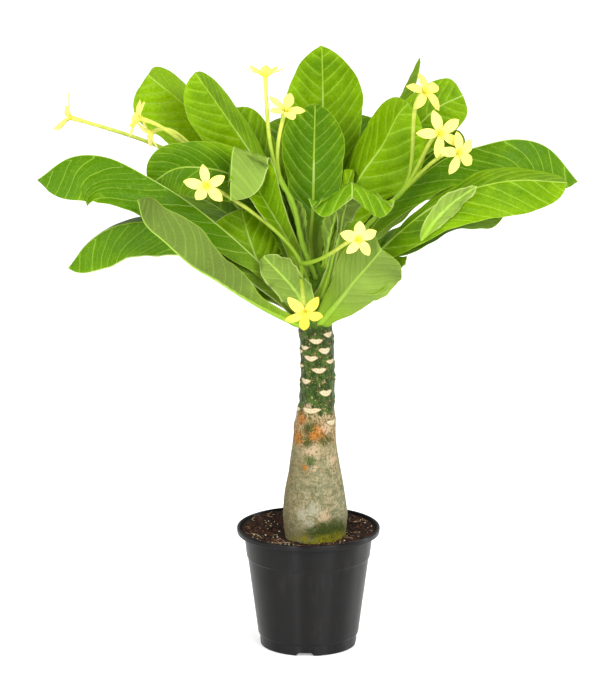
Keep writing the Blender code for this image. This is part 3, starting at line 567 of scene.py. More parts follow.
def barkMaterial():
    s = Surface("bark", 0.62, 0.1)
    speck = s.noise(1100.0, 3.0, 0.7)
    grain = s.noise(560.0, 5.0, 0.75, (1.0, 1.0, 0.6))
    wrinkles = s.noise(460.0, 4.0, 0.6, (0.25, 0.25, 1.0))
    streak = s.noise(190.0, 4.0, 0.65, (1.0, 1.0, 0.7))
    broad = s.noise(45.0)
    patchy = s.noise(150.0, 5.0, 0.7)
    # old bark: tan and grey-green, browner on one side, with paler grain, dark cracks and specks
    old = s.layered(
        (0.30, 0.235, 0.115),
        (broad, 0.42, 0.58, (0.225, 0.235, 0.13)),
        (s.layer("greyBand"), 0.0, 1.0, 0.0, 0.7, (0.19, 0.20, 0.11)),
        (patchy, 0.48, 0.60, 0.0, 0.85, (0.43, 0.36, 0.21)),
        (patchy, 0.38, 0.47, 0.75, 0.0, (0.145, 0.15, 0.068)),
        (s.layer("brownSide"), (0.15, 0.11, 0.045)),
        (grain, 0.50, 0.66, 0.0, 0.6, (0.50, 0.455, 0.30)),
        (grain, 0.34, 0.50, 0.75, 0.0, (0.09, 0.075, 0.028)),
        (wrinkles, 0.36, 0.47, 0.6, 0.0, (0.10, 0.09, 0.04)),
        (speck, 0.34, 0.42, 0.6, 0.0, (0.05, 0.04, 0.015)),
    )
    # the young stretch is dark green with lighter streaks, and leaf green at the growing point
    green = s.layered(
        (0.016, 0.036, 0.004),
        (streak, 0.42, 0.62, (0.055, 0.108, 0.014)),
        (grain, 0.55, 0.70, 0.0, 0.5, (0.11, 0.20, 0.035)),
        (speck, 0.36, 0.44, 0.5, 0.0, (0.008, 0.022, 0.002)),
        (s.layer("growing"), (0.11, 0.25, 0.006)),
    )
    # the crust between them has cream and brown lumps, and orange grains in its rust
    crust = s.layered(
        (0.12, 0.065, 0.016),
        (grain, 0.42, 0.56, (0.52, 0.41, 0.22)),
        (speck, 0.36, 0.46, 0.8, 0.0, (0.05, 0.03, 0.01)),
    )
    rust = s.layered((0.17, 0.045, 0.008), (speck, 0.4, 0.6, (0.60, 0.24, 0.03)))
    # moss about the foot: olive, then yellow low down, with black specks
    moss = s.layered(
        (0.038, 0.055, 0.004),
        (s.broken("lowness", patchy, 1.5), 0.2, 0.8, (0.22, 0.20, 0.005)),
        (grain, 0.36, 0.47, 0.85, 0.0, (0.012, 0.012, 0.003)),
    )
    # cream scars with a tan rim and strand marks; below they get a painted shadow round their edge and thin
    # brown tails
    inside = s.broken("scarInside", grain, 1.6)
    cream = s.layered(
        (0.33, 0.24, 0.11),
        (inside, 0.1, 1.1, (0.54, 0.47, 0.31)),
        (grain, 0.50, 0.62, 0.0, 0.7, (0.40, 0.29, 0.15)),
        (s.layer("scarSpot"), 0.3, 0.9, 0.0, 0.6, (0.34, 0.22, 0.12)),
    )
    rise = s.broken("youth", patchy, 2.0)
    s.feed("Base Color", s.layered(
        old,
        (rise, 0.46, 0.56, green),
        (s.broken("crust", patchy, -3.2), 0.42, 0.56, crust),
        (s.broken("greenSpot", grain, 5.0), 0.45, 0.62, 0.0, 0.9, green),
        (s.broken("rust", grain, 5.0), 0.42, 0.6, 0.0, 0.95, rust),
        (s.broken("buff", grain, 5.0), 0.45, 0.75, 0.0, 0.85, (0.56, 0.40, 0.25)),
        (s.broken("chalk", grain, 2.4), 0.4, 1.1, 0.0, 0.6, (0.50, 0.48, 0.36)),
        (s.broken("moss", patchy, 1.6), 0.25, 0.95, 0.0, 0.95, moss),
        # painted shadow: a dark green ring just outside each scar
        (inside, -1.6, -0.1, 0.0, 0.6, (0.012, 0.028, 0.004)),
        (s.layer("scarTail"), 0.35, 0.9, 0.0, 0.7, (0.19, 0.13, 0.05)),
        (inside, -0.15, 0.15, cream),
    ))
    s.feed("Roughness", s.ease(rise, 0.40, 0.58, 0.78, 0.40))
    lumps = s.product(patchy, s.layer("roughness"))
    s.bump(s.total(grain, s.product(wrinkles, 0.6), lumps, s.product(speck, 0.6)), 0.9, 1.0)
    return s.material


def buildStem():
    stations = np.array(stem["stations"])
    heights = np.arange(stations[0, 0], stations[-1, 0], stem["ringStep"])[:, None]
    turn = circle(stem["sectors"])[None, :]
    azimuth = np.degrees(turn)
    lean, radius = stemAt(heights)
    # corners between the stations are smoothed by averaging the radius over a short stretch
    kernel = np.hanning(2 * stem["smoothing"] + 1)
    kernel /= kernel.sum()
    radius = np.convolve(np.pad(radius[:, 0], stem["smoothing"], mode="edge"), kernel, mode="valid")[:, None]
    inside, swell, tail, spot = scarForm(azimuth, heights)
    rust, buff, greenSpot, chalk = [stemPatch(azimuth, heights, stem[key])
                                    for key in ("rust", "buff", "greenSpots", "chalk")]
    low, high, run = stem["crustBand"]
    crust = smoothStep((heights - low) / run) * smoothStep((high - heights) / run)
    # relief: scar cushions, a slight dish in each scar, bark lumps, long shallow folds and a ribbed foot
    cushion, dish, rustLumps, buffLumps, crustLumps = stem["reliefs"]
    relief = cushion * swell - dish * smoothStep(inside / 1.2) + rustLumps * rust
    relief = relief + buffLumps * buff + crustLumps * crust
    draw = np.random.default_rng(stem["seed"])
    for size in (2.0, 3.0, 5.0, 8.0, 13.0, 21.0):
        phase, slant = draw.uniform(0.0, 2.0 * np.pi), draw.uniform(-0.06, 0.06)
        around = np.sin(size * turn + phase + slant * size * heights / 3.0)
        along = np.cos(heights / (34.0 / size ** 0.5) + phase)
        relief = relief + stem["folds"] / size ** 0.5 * around * along
    foot = smoothStep((heights - stem["ribsFrom"]) / -14.0)
    radius = radius + relief + foot * 0.5 * np.sin(stem["ribs"] * turn + 1.0)
    mossAzimuth, mossHeight, mossSpread, mossRise = stem["moss"]
    mossy = bell(turnFrom(azimuth, mossAzimuth) / mossSpread)
    reach = mossHeight + mossRise * mossy + 5.0
    greyHeight, greySpread = stem["greyBand"]
    brownAzimuth, brownSpread, brownTop = stem["brownSide"]
    brown = bell((azimuth - brownAzimuth) / brownSpread)
    layers = dict(
        youth=smoothStep((heights - stem["youngFrom"]) / 24.0),
        growing=smoothStep((heights - stem["growingFrom"]) / 14.0),
        lowness=smoothStep((stem["yellowMossTop"] - heights) / 16.0),
        greyBand=bell((heights - greyHeight) / greySpread) * (0.7 + 0.3 * np.cos(turn + 1.2)),
        brownSide=0.6 * brown * smoothStep((brownTop - heights) / 20.0),
        moss=smoothStep((reach - heights) / 22.0 + 0.4) * (0.35 + 0.65 * mossy),
        crust=crust, roughness=0.2 + 1.4 * crust, rust=rust, buff=buff, greenSpot=greenSpot, chalk=chalk,
        scarInside=inside, scarSpot=spot, scarTail=tail,
    )
    rings = turned(radius, heights, turn) + lean[..., None] * np.array([1.0, 0.0, 0.0])
    addPiece("stem", closedTube(rings, layers), barkMaterial(), "trunk")


buildStem()
print("stem built")


# Leaves
leafStyle = {
    "rows": 96, "columns": 41, "youngRows": 48, "youngColumns": 21, "edgeBunching": 0.86, "midribStep": 2.0,
    "archSteps": 180, "seed": 5,
    # thickness of the blade, its edge, the rib at foot and tip, and the stalk; the rib's width and its groove
    "blade": 0.55, "edge": 0.3, "rib": 1.4, "ribTip": 0.3, "stalk": 2.6, "ribHalf": 0.75, "ribHalfMore": 1.7,
    "groove": 0.35,
    # outline: half widths of the stalk and the tip, the foot's flare, the powers at base and tip, and the
    # number and size of each ripple
    "stalkHalfWidth": 4.0, "tipHalfWidth": 0.6, "flare": 0.9, "flareRun": 0.07, "baseWidening": 1.8,
    "bluntness": 0.5, "wander": ((7.0, 0.045), (14.0, 0.03), (31.0, 0.013), (67.0, 0.007)), "lobeWaves": 9.6,
    "lobeFrom": 0.78,
    # how a leaf leaves the stem and droops, in shares of its length
    "footSink": 3.0, "tuck": 8.0, "tuckRun": 0.05, "upright": 52.0, "launchShare": 0.9, "launchRun": 0.11,
    "rollRun": 0.35, "formRun": 0.3, "droopPower": 1.3,
    # waves of the edge and the blade, and side veins
    "waves": 3.0, "edgePhase": 2.2, "ruffle": 0.5, "ripples": (47.0, 82.0), "slowWave": 1.6,
    "veinSpacing": 13.0, "veinSlope": 0.75, "veinBow": 0.55, "veinShift": 0.4, "usualWidth": 76.0,
    "pucker": 0.55, "toneSpread": 0.15,
    # dark, bright and pale green of the upper face, and the green of the lower one
    "grown": ((0.055, 0.145, 0.0), (0.205, 0.37, 0.0), (0.38, 0.52, 0.05), (0.165, 0.255, 0.035)),
    "young": ((0.10, 0.22, 0.0), (0.24, 0.42, 0.0), (0.42, 0.56, 0.06), (0.22, 0.34, 0.045)),
}
# By node. Seat and height are where on the stem the leaf grows, width is its fullest, base and tip are the
# powers of its outline, wave is its edge's wave and ruffle a finer one, and the folds lift its halves. A leaf
# with a path runs through points on its midrib, with its left edge towards side, which turns to tipSide by
# the tip. The others rise along their azimuth and droop: swing turns them along the way and roll tips them
# about the midrib. A leaf's tone is painted light and shade: it makes the whole leaf brighter or darker for
# how it is lit. Slant and veinStep are the slope and spacing of its veins, paleEdge is the pale line along
# its edge, and lobes is how far its end is drawn back at the midrib
leaves = {
    # upright leaves of the middle and the back
    "leaf_01": dict(seat=79, height=338, width=76, shadeAndTone=-0.05, base=1.5, stalk=5.8, wave=2, foldLeft=4,
        tip=0.72, side=(-1, -0.05, 0), path=((9, 36, 387), (11, 48, 440), (13, 52, 490), (12, 44, 545))),
    "leaf_02": dict(seat=104, height=346, width=57, shadeAndTone=-0.3, base=1.5, stalk=5.8, wave=1, foldLeft=6,
        foldRight=4, tip=0.6, side=(-1, 0.1, 0), path=((2, 7, 372), (4, 17, 404), (5, 22, 454),
        (6, 20, 497))),
    "leaf_03": dict(seat=117, height=340, width=44, wave=2, foldRight=-16, side=(-0.86, -0.2, -0.4),
        path=((-10, 33, 378), (-32, 45, 417), (-51, 52, 453), (-65, 54, 486))),
    "leaf_04": dict(azimuth=76, height=319, length=208, width=76, rise=54, droop=26, wave=3, seat=78,
        swing=4, roll=4, foldLeft=4, shadeAndTone=-0.4),
    "leaf_05": dict(azimuth=98, height=331, length=192, width=74, rise=65, droop=48, wave=3, shadeAndTone=-0.3),
    "leaf_06": dict(seat=42, height=339, width=78, shadeAndTone=0.1, base=1.5, veinStep=1.3, stalk=5.4, wave=2,
        foldLeft=-57, tip=0.45, side=(-0.86, 0.13, 0.48), path=((19, 11, 377), (34, 11, 408), (47, 7, 435),
        (66, 1, 464), (78, 0, 489), (88, 0, 502))),
    "leaf_07": dict(seat=55, height=334, width=59, wave=3, foldLeft=-13, foldRight=-16, side=(0.1, 1, 0.1),
        path=((33, 44, 380), (54, 65, 424), (79, 83, 482), (100, 88, 525))),
    "leaf_08": dict(seat=-3, height=338, width=54, wave=3, foldLeft=-11, foldRight=-8, tip=0.3,
        side=(-0.6, 0.3, 0.7), path=((35, 17, 382), (60, 29, 420), (87, 37, 459), (113, 41, 487),
        (138, 38, 501))),
    "leaf_09": dict(azimuth=19, height=331, length=188, width=80, rise=57, droop=24, wave=3, seat=23,
        swing=4, roll=5, foldLeft=2, foldRight=-4, shadeAndTone=-0.3),
    # raised leaves on the left
    "leaf_10": dict(seat=174, height=338, width=78, shadeAndTone=0.8, wave=2, foldRight=-58, tip=0.3,
        side=(-0.82, -0.34, -0.5), path=((-43, 30, 394), (-79, 50, 441), (-106, 58, 482), (-144, 56, 516))),
    "leaf_11": dict(seat=138, height=328, width=60, wave=2, foldLeft=-12, foldRight=-60,
        side=(-0.84, -0.23, -0.5), path=((-21, 25, 395), (-44, 22, 440), (-74, 21, 486), (-101, 22, 525))),
    "leaf_12": dict(seat=189, height=318, width=52, shadeAndTone=-0.25, slant=1.0, wave=2, foldLeft=-23,
        foldRight=45, side=(-0.1, -0.65, -0.75), path=((-21, -3, 382), (-48, -12, 424), (-71, -18, 442),
        (-97, -19, 448), (-120, -18, 446), (-141, -17, 432))),
    "leaf_13": dict(seat=199, height=334, width=71, paleEdge=0.4, wave=2, foldLeft=81, foldRight=23,
        tip=0.4, side=(-1, 0.1, 0), path=((-17, -11, 376), (-40, -17, 418), (-56, -27, 451),
        (-65, -39, 470), (-68, -51, 459), (-69, -57, 427))),
    # spreading leaves on the left, the lowest last
    "leaf_14": dict(seat=231, height=309, width=96, shadeAndTone=-0.4, slant=1.5, veinStep=1.7, wave=3, ruffle=1.6,
        foldLeft=-3, foldRight=-82, tip=0.4, side=(-0.4, -0.55, -0.7), tipSide=(0.35, -0.5, -0.7),
        path=((-47, -31, 368), (-102, -43, 419), (-150, -37, 448), (-182, -32, 461), (-212, -33, 460),
        (-240, -41, 442))),
    "leaf_15": dict(seat=219, height=302, width=65, shadeAndTone=-0.5, slant=1.3, paleEdge=0.7, veinStep=1.5,
        wave=3, foldLeft=-22, foldRight=-67, side=(-0.3, -0.5, -0.85), tipSide=(0.3, -0.5, -0.8),
        path=((-41, -28, 349), (-61, -32, 370), (-91, -34, 390), (-131, -31, 401), (-170, -23, 396),
        (-196, -19, 380), (-215, -16, 355))),
    "leaf_16": dict(seat=226, height=299, width=64, shadeAndTone=-0.5, wave=3, foldLeft=2, foldRight=72, tip=0.6,
        side=(0.65, -0.45, 0.6), path=((-48, -37, 328), (-82, -66, 357), (-104, -82, 375), (-126, -92, 398),
        (-143, -88, 413), (-150, -68, 429))),
    # leaves towards the front
    "leaf_17": dict(seat=-68, height=322, width=84, lobes=7, paleEdge=0.25, veinStep=1.3, shadeAndTone=-0.1, wave=4,
        foldLeft=-30, foldRight=-30, tip=0.35, base=4.6, stalk=5.0, side=(1, 0, 0), path=((24, -28, 375),
        (32, -48, 416), (36, -68, 442), (38, -84, 448), (38, -98, 432)), ruffle=3.0),
    "leaf_18": dict(seat=196, height=306, width=73, shadeAndTone=0.1, paleEdge=0.6, wave=3, foldLeft=-17,
        foldRight=-11, side=(-0.75, -0.4, -0.4), path=((-22, -11, 329), (-40, -13, 349), (-52, -12, 379),
        (-60, -6, 407)), ruffle=1.2),
    "leaf_19": dict(seat=-72, height=302, width=65, base=1.15, wave=2, foldLeft=6, foldRight=36, tip=0.35,
        side=(0.85, -0.2, -0.48), path=((29, -40, 333), (39, -60, 352), (51, -79, 371), (64, -106, 394))),
    "leaf_20": dict(azimuth=-40, height=304, length=112, width=46, rise=40, droop=8, wave=2, seat=-34,
        roll=30, foldLeft=4, foldRight=4),
    # spreading leaves on the right
    "leaf_21": dict(seat=-2, height=320, width=85, shadeAndTone=-0.3, slant=1.3, veinStep=1.7, wave=3,
        foldLeft=-119, foldRight=5, tip=0.55, side=(-0.15, 0.6, 0.75), tipSide=(0.6, 0.4, 0.75),
        path=((48, -7, 379), (83, -6, 421), (119, -7, 452), (153, -7, 465), (186, -2, 470), (215, 4, 460),
        (241, 9, 429))),
    "leaf_22": dict(seat=-19, height=311, width=68, shadeAndTone=-0.1, slant=1.3, veinStep=1.5, wave=3,
        foldLeft=-52, side=(-0.2, 0.5, 0.8), path=((50, -31, 360), (81, -47, 396), (116, -52, 424),
        (152, -55, 439), (187, -52, 444), (228, -53, 442))),
    # spreading leaves at the back
    "leaf_23": dict(azimuth=112, height=317, length=240, width=86, rise=52, droop=44, wave=4, seat=110,
        swing=-2, roll=4),
    "leaf_24": dict(azimuth=138, height=316, length=228, width=80, rise=46, droop=58, wave=4, seat=140),
    "leaf_25": dict(azimuth=128, height=308, length=250, width=84, rise=38, droop=62, wave=4),
    "leaf_26": dict(azimuth=92, height=302, length=236, width=82, rise=34, droop=60, wave=4),
    "leaf_27": dict(azimuth=64, height=310, length=256, width=86, rise=40, droop=56, wave=4),
    "leaf_28": dict(azimuth=34, height=306, length=216, width=80, rise=42, droop=50, wave=4, seat=36),
    # young leaves at the growing point
    "young_leaf_1": dict(azimuth=-30, height=352, length=60, width=22, rise=80, droop=8, wave=0, seat=-28,
        roll=2, foldLeft=20, foldRight=20, stalk=2.5),
    "young_leaf_2": dict(azimuth=210, height=349, length=78, width=26, rise=76, droop=10, wave=0,
        foldLeft=20, foldRight=20, stalk=2.5),
    "young_leaf_3": dict(azimuth=26, height=349, length=94, width=34, rise=79, droop=14, wave=1, seat=29,
        swing=-2, roll=4, foldLeft=16, foldRight=10, stalk=3),
}


# turned-over flaps that show their lower face: a path with its first point on the blade, and a side as above
flaps = {
    "leaf_22": dict(path=((99, -64, 394), (112, -68, 412), (129, -68, 429), (148, -64, 441)), width=20,
        side=(0.6, 0.3, -0.7), base=0.8, tip=0.7, wave=1, shadeAndTone=0.1, paleEdge=0.3, stalk=0.4),
    "leaf_18": dict(path=((-2, -18, 308), (-7, -34, 331), (-20, -42, 351), (-40, -46, 373)), width=31,
        side=(0.8, -0.1, 0.6), base=0.9, tip=0.5, wave=4, ruffle=1.8, shadeAndTone=-0.2, paleEdge=0.3, stalk=1.5),
}


def guidedLine(leaf, points):
    # a smooth curve through the points, with across the side made square to it
    line = smoothPath(np.array(points, float), leafStyle["midribStep"])
    share = smoothStep(np.linspace(0.0, 1.0, len(line)))[:, None]
    along = unit(np.gradient(line, axis=0))
    side = np.array(leaf["side"]) * (1.0 - share) + np.array(leaf.get("tipSide", leaf["side"])) * share
    across = unit(side - (side * along).sum(axis=1, keepdims=True) * along)
    return line, across, np.cross(along, across)


def archedLine(leaf, foot):
    # the running sum of short steps along the leaf's heading and pitch; the pitch falls with the droop
    style = leafStyle
    fine = np.linspace(0.0, 1.0, style["archSteps"] + 1)
    launch = style["launchShare"] * max(0.0, leaf["rise"] - style["upright"])
    launch = launch * (1.0 - smoothStep(fine / style["launchRun"]))
    pitch = np.radians(leaf["rise"] - leaf["droop"] * fine ** style["droopPower"] - launch)
    azimuth = np.radians(leaf["azimuth"] + leaf.get("swing", 0.0) * fine)
    roll = np.radians(leaf.get("roll", 0.0) * smoothStep(fine / style["rollRun"]))[:, None]
    along = np.stack([np.cos(pitch) * np.cos(azimuth), np.cos(pitch) * np.sin(azimuth), np.sin(pitch)], -1)
    level = np.stack([-np.sin(azimuth), np.cos(azimuth), np.zeros_like(fine)], -1)
    upper = np.cross(along, level)
    across = level * np.cos(roll) + upper * np.sin(roll)
    steps = 0.5 * (along[1:] + along[:-1]) * leaf["length"] / (len(fine) - 1)
    return foot + np.vstack([np.zeros(3), np.cumsum(steps, 0)]), across, np.cross(along, across)


def leafLine(leaf, u):
    # the midrib, the direction over the blade and the one out of its upper face, at each u, and the length
    outwards = heading(leaf.get("seat", leaf.get("azimuth", 0.0)))
    points = leaf.get("path", ())
    if "height" in leaf:
        lean, radius = stemAt(leaf["height"])
        foot = outwards * (radius - leafStyle["footSink"]) + np.array([lean, 0.0, leaf["height"]])
        points = (foot, *points)
    line, across, out = guidedLine(leaf, points) if "path" in leaf else archedLine(leaf, foot)
    fine = np.linspace(0.0, 1.0, len(line))
    length = runAlong(line)[-1]
    line, across, out = [np.stack([np.interp(u, fine, value[:, k]) for k in range(3)], -1)
                         for value in (line, across, out)]
    # the foot is tucked into the stem
    if "height" in leaf:
        line = line - (smoothStep(1.0 - u / leafStyle["tuckRun"]) * leafStyle["tuck"])[:, None] * outwards
    return line, across, out, length


def leafHalfWidth(leaf, u):
    # the outline's half width plus the narrowing stalk, which widens again at its foot
    style = leafStyle
    shape = powerShape(u, leaf.get("base", style["baseWidening"]), leaf.get("tip", style["bluntness"]))
    stalk = leaf.get("stalk", style["stalkHalfWidth"]) * np.sqrt(1.0 - u) * np.clip(1.6 - 3.2 * u, 0.0, 1.0)
    stalk = stalk * (1.0 + style["flare"] * bell(u / style["flareRun"]))
    return np.maximum(0.5 * leaf["width"] * shape, style["tipHalfWidth"] * smoothStep(u / 0.3)) + stalk


def leafShape(leaf, rows, columns, draw):
    # u runs from foot to tip and v from edge to edge; the sheet is the midrib plus v times the half width
    # along across, lifted along out by the folds, the waves of edge and blade and the swelling between veins
    style = leafStyle
    u = (1.0 - (1.0 - np.linspace(0.0, 1.0, rows)) ** 1.2)[:, None]
    bunch = style["edgeBunching"] * np.pi
    v = np.sin(np.linspace(-0.5, 0.5, columns) * bunch)[None, :] / math.sin(0.5 * bunch)
    away = np.abs(v)
    line, across, out, length = leafLine(leaf, u[:, 0])
    line, across, out = line[:, None], across[:, None], out[:, None]
    phase = draw.uniform(0.0, 2.0 * np.pi, 10)
    side = np.where(v > 0.0, 0, 4)
    # the outline's half width wanders a little, in four sizes of ripple
    wander = sum(size * np.sin(count * u + phase[side + k])
                 for k, (count, size) in enumerate(style["wander"]))
    width = leafHalfWidth(leaf, u) * (1.0 + wander * smoothStep((u - 0.15) / 0.3) * smoothStep(away / 0.2))
    reach = away * width
    # lift of the folds, the waves and ripples of the edge, and a slow wave over the blade
    fold = np.radians(np.where(v >= 0.0, leaf.get("foldLeft", 0.0), leaf.get("foldRight", 0.0)))
    fold = fold * smoothStep(u / style["formRun"])
    bow = np.sqrt(v ** 2 + 0.0009) - 0.03
    fade = smoothStep(u / 0.5) * np.sqrt(np.clip((1.0 - u) * 8.0, 0.0, 1.0))
    wave = np.sin(2.0 * np.pi * style["waves"] * u + np.where(v > 0.0, 0.0, style["edgePhase"]))
    coarse, fine = style["ripples"]
    ripple = np.sin(coarse * u + phase[side + 1]) + 0.5 * np.sin(fine * u + phase[side])
    lift = bow * np.sin(fold) * width + leaf["wave"] * v ** 2 * wave * fade
    lift = lift + leaf.get("ruffle", style["ruffle"]) * v ** 4 * ripple * fade
    lift = lift + style["slowWave"] * bow * np.sin(10.0 * u + 2.5 * v + phase[8]) * fade
    # veins are counted along the leaf; a side vein slants forward and bows on its way to the edge
    bowed = style["veinBow"] * reach ** 2 / (0.5 * leaf["width"])
    spacing = style["veinSpacing"] * leaf.get("veinStep", 1.0)
    spacing = spacing * (0.75 + 0.25 * leaf["width"] / style["usualWidth"])
    veins = (u * length - leaf.get("slant", style["veinSlope"]) * reach - bowed) / spacing
    veins = veins + np.where(v > 0.0, style["veinShift"], 0.0) + 0.12 * np.sin(1.9 * veins + phase[9] + side)
    swelling = -np.cos(2.0 * np.pi * veins) * smoothStep(away / 0.18) * smoothStep((1.0 - away) / 0.25)
    lift = lift + style["pucker"] * swelling * smoothStep((u - 0.2) / 0.2)
    ribHalf = style["ribHalf"] + style["ribHalfMore"] * (1.0 - u) ** 1.2
    ridge = np.sqrt(np.clip(1.0 - (reach / ribHalf) ** 2, 0.0, 1.0))
    lift = lift - style["groove"] * ridge * smoothStep(u / 0.2)
    upper = line + (v * np.cos(fold) * width)[..., None] * across + lift[..., None] * out
    # a lobed end is drawn back at the midrib and let out on both sides
    start = style["lobeFrom"]
    lobes = np.cos(style["lobeWaves"] * v * width / leaf["width"]) * smoothStep((u - start) / (1.0 - start))
    upper = upper - (leaf.get("lobes", 0.0) * lobes)[..., None] * np.cross(across, out)
    # the stalk is rounded below, the rib stands out of the blade, and the blade thins to its edge
    rounded = np.sqrt(np.clip(1.0 - v ** 2, 0.0, 1.0))
    stalk = style["stalk"] * np.clip(1.0 - u / style["formRun"], 0.0, 1.0) * rounded
    thickness = style["edge"] + (style["blade"] - style["edge"]) * smoothStep((1.0 - away) / 0.3)
    thickness = thickness + ridge * (style["ribTip"] + style["rib"] * (1.0 - u)) + stalk
    # a leaf's tone is its painted light and shade, plus a little tone that differs at random
    shadeAndTone = leaf.get("shadeAndTone", 0.0) + draw.uniform(-style["toneSpread"], style["toneSpread"])
    layers = dict(alongLeaf=u, ribDistance=reach - ribHalf * 0.8, edgeDistance=width - reach, veinPhase=veins,
                  leafShadeAndTone=shadeAndTone, paleEdge=leaf.get("paleEdge", 0.0))
    return thickSheet(upper, thickness, layers)


def leafMaterial(name, dark, bright, pale, under):
    s = Surface(name, 0.42, 0.07)
    along, edge, rib = s.layer("alongLeaf"), s.layer("edgeDistance"), s.layer("ribDistance")
    underside, shadeAndTone = s.layer("underside"), s.layer("leafShadeAndTone")
    broad, middling, fine = s.noise(16.0, 2.0), s.noise(75.0), s.noise(420.0)
    # side veins stand at whole numbers of the vein count and finer ones half way; noise makes them uneven
    count = s.total(s.layer("veinPhase"), s.product(middling, 0.22))
    offVein = s.calc("ABSOLUTE", s.calc("SUBTRACT", s.calc("FRACT", count), 0.5))
    glow = s.ease(offVein, 0.30, 0.5)
    bladeOnly = s.ease(rib, 0.0, 1.2)
    vein = s.product(s.ease(offVein, 0.466, 0.492), bladeOnly, s.ease(broad, 0.3, 0.6, 0.45, 1.0))
    between = s.ease(offVein, 0.012, 0.026, 1.0, 0.0)
    between = s.product(between, bladeOnly, s.ease(middling, 0.4, 0.6, 0.1, 0.8))
    network = s.ease(s.cells(230.0), 0.0, 0.05, 1.0, 0.0)
    # upper face, darker towards the foot and along the midrib
    whitish = tuple(part + 0.12 for part in pale)
    # the leaf's tone in this mix is painted light and shade
    shade = s.total(
        broad, shadeAndTone, s.ease(along, 0.25, 0.8, -0.12, 0.1), s.ease(edge, 0.0, 14.0, 0.12, -0.05),
        s.product(s.calc("SUBTRACT", middling, 0.5), 0.5), s.product(glow, 0.2),
    )
    upper = s.layered(
        dark,
        (shade, 0.1, 1.0, bright),
        (fine, 0.35, 0.65, 0.0, 0.3, dark),
        (s.product(network, 0.13), pale),
        (s.product(between, 0.22), pale),
        (s.product(vein, 0.36), whitish),
        (along, 0.12, 0.42, 0.3, 0.0, pale),
        (rib, -0.6, 0.3, 0.62, 0.0, s.layered(pale, (broad, 0.45, 0.6, whitish))),
    )
    # lower face: greyer and paler, with the veins standing out less
    darkBelow, lightBelow, paleBelow = [tuple(gain * part for part in under) for gain in (0.6, 1.35, 2.0)]
    below = s.layered(
        darkBelow,
        # the leaf's tone paints light and shade on the lower face too
        (s.total(broad, s.product(glow, 0.15), s.product(shadeAndTone, 0.8)), 0.1, 1.0, lightBelow),
        (s.product(network, 0.12), paleBelow),
        (s.product(between, 0.15), paleBelow),
        (s.product(vein, 0.32), paleBelow),
        (rib, -0.5, 0.5, 0.7, 0.0, paleBelow),
        (along, 0.12, 0.42, 0.5, 0.0, bright),
    )
    fringe = s.product(s.layer("paleEdge"), s.ease(edge, 0.3, 1.6, 1.0, 0.0))
    s.feed("Base Color", s.layered(
        upper,
        (underside, below),
        (edge, 0.2, 0.7, 0.45, 0.0, pale),
        (fringe, (0.56, 0.62, 0.26)),
    ))
    s.feed("Roughness", s.total(s.ease(middling, 0.3, 0.7, 0.33, 0.46), s.product(underside, 0.16)))
    # veins are sunk in the upper face and stand out of the lower one
    sunk = s.total(vein, s.product(s.total(between, network), 0.35))
    height = s.product(sunk, s.calc("SUBTRACT", s.product(underside, 2.0), 1.0))
    s.bump(s.total(height, s.product(fine, 0.7)), 0.35, 0.7)
    return s.material


def buildLeaves():
    style = leafStyle
    draw = np.random.default_rng(style["seed"])
    grown = leafMaterial("leafGreen", *style["grown"])
    young = leafMaterial("youngLeafGreen", *style["young"])
    large, small = (style["rows"], style["columns"]), (style["youngRows"], style["youngColumns"])
    for node, leaf in leaves.items():
        isYoung = node.startswith("young")
        shape = leafShape(leaf, *(small if isYoung else large), draw)
        if node in flaps:
            shape = joined([shape, leafShape(flaps[node], *small, draw)])
        piece = "youngLeaf" + node[11:] if isYoung else "leaf" + node[5:]
        addPiece(piece, shape, young if isYoung else grown, node)


buildLeaves()
print("leaves built")


# Flowers
flowerStyle = {
    "stalkRadius": 2.4, "knee": (3.0, 4.0), "tubeRadius": 1.8, "mouthRadius": 2.3, "ovaryRadius": 2.7,
    "ovaryLength": 14.0, "tubeEase": 0.3, "spacing": 2.5, "sides": 14, "throat": 3.0, "reach": 20.0,
    "petals": 5, "petalFoot": 1.9, "petalHalfWidth": 4.3, "petalThickness": 0.45, "petalBase": 0.95,
    "petalTip": 0.85, "channel": 0.9, "seed": 23,
    # shares of the reach and the half width, and the sideways lean and the turn, that petals vary by
    "lengths": (0.76, 1.08), "widths": (0.85, 1.1), "lean": (-1.6, 1.6), "turnSpread": (-8.0, 8.0),
}
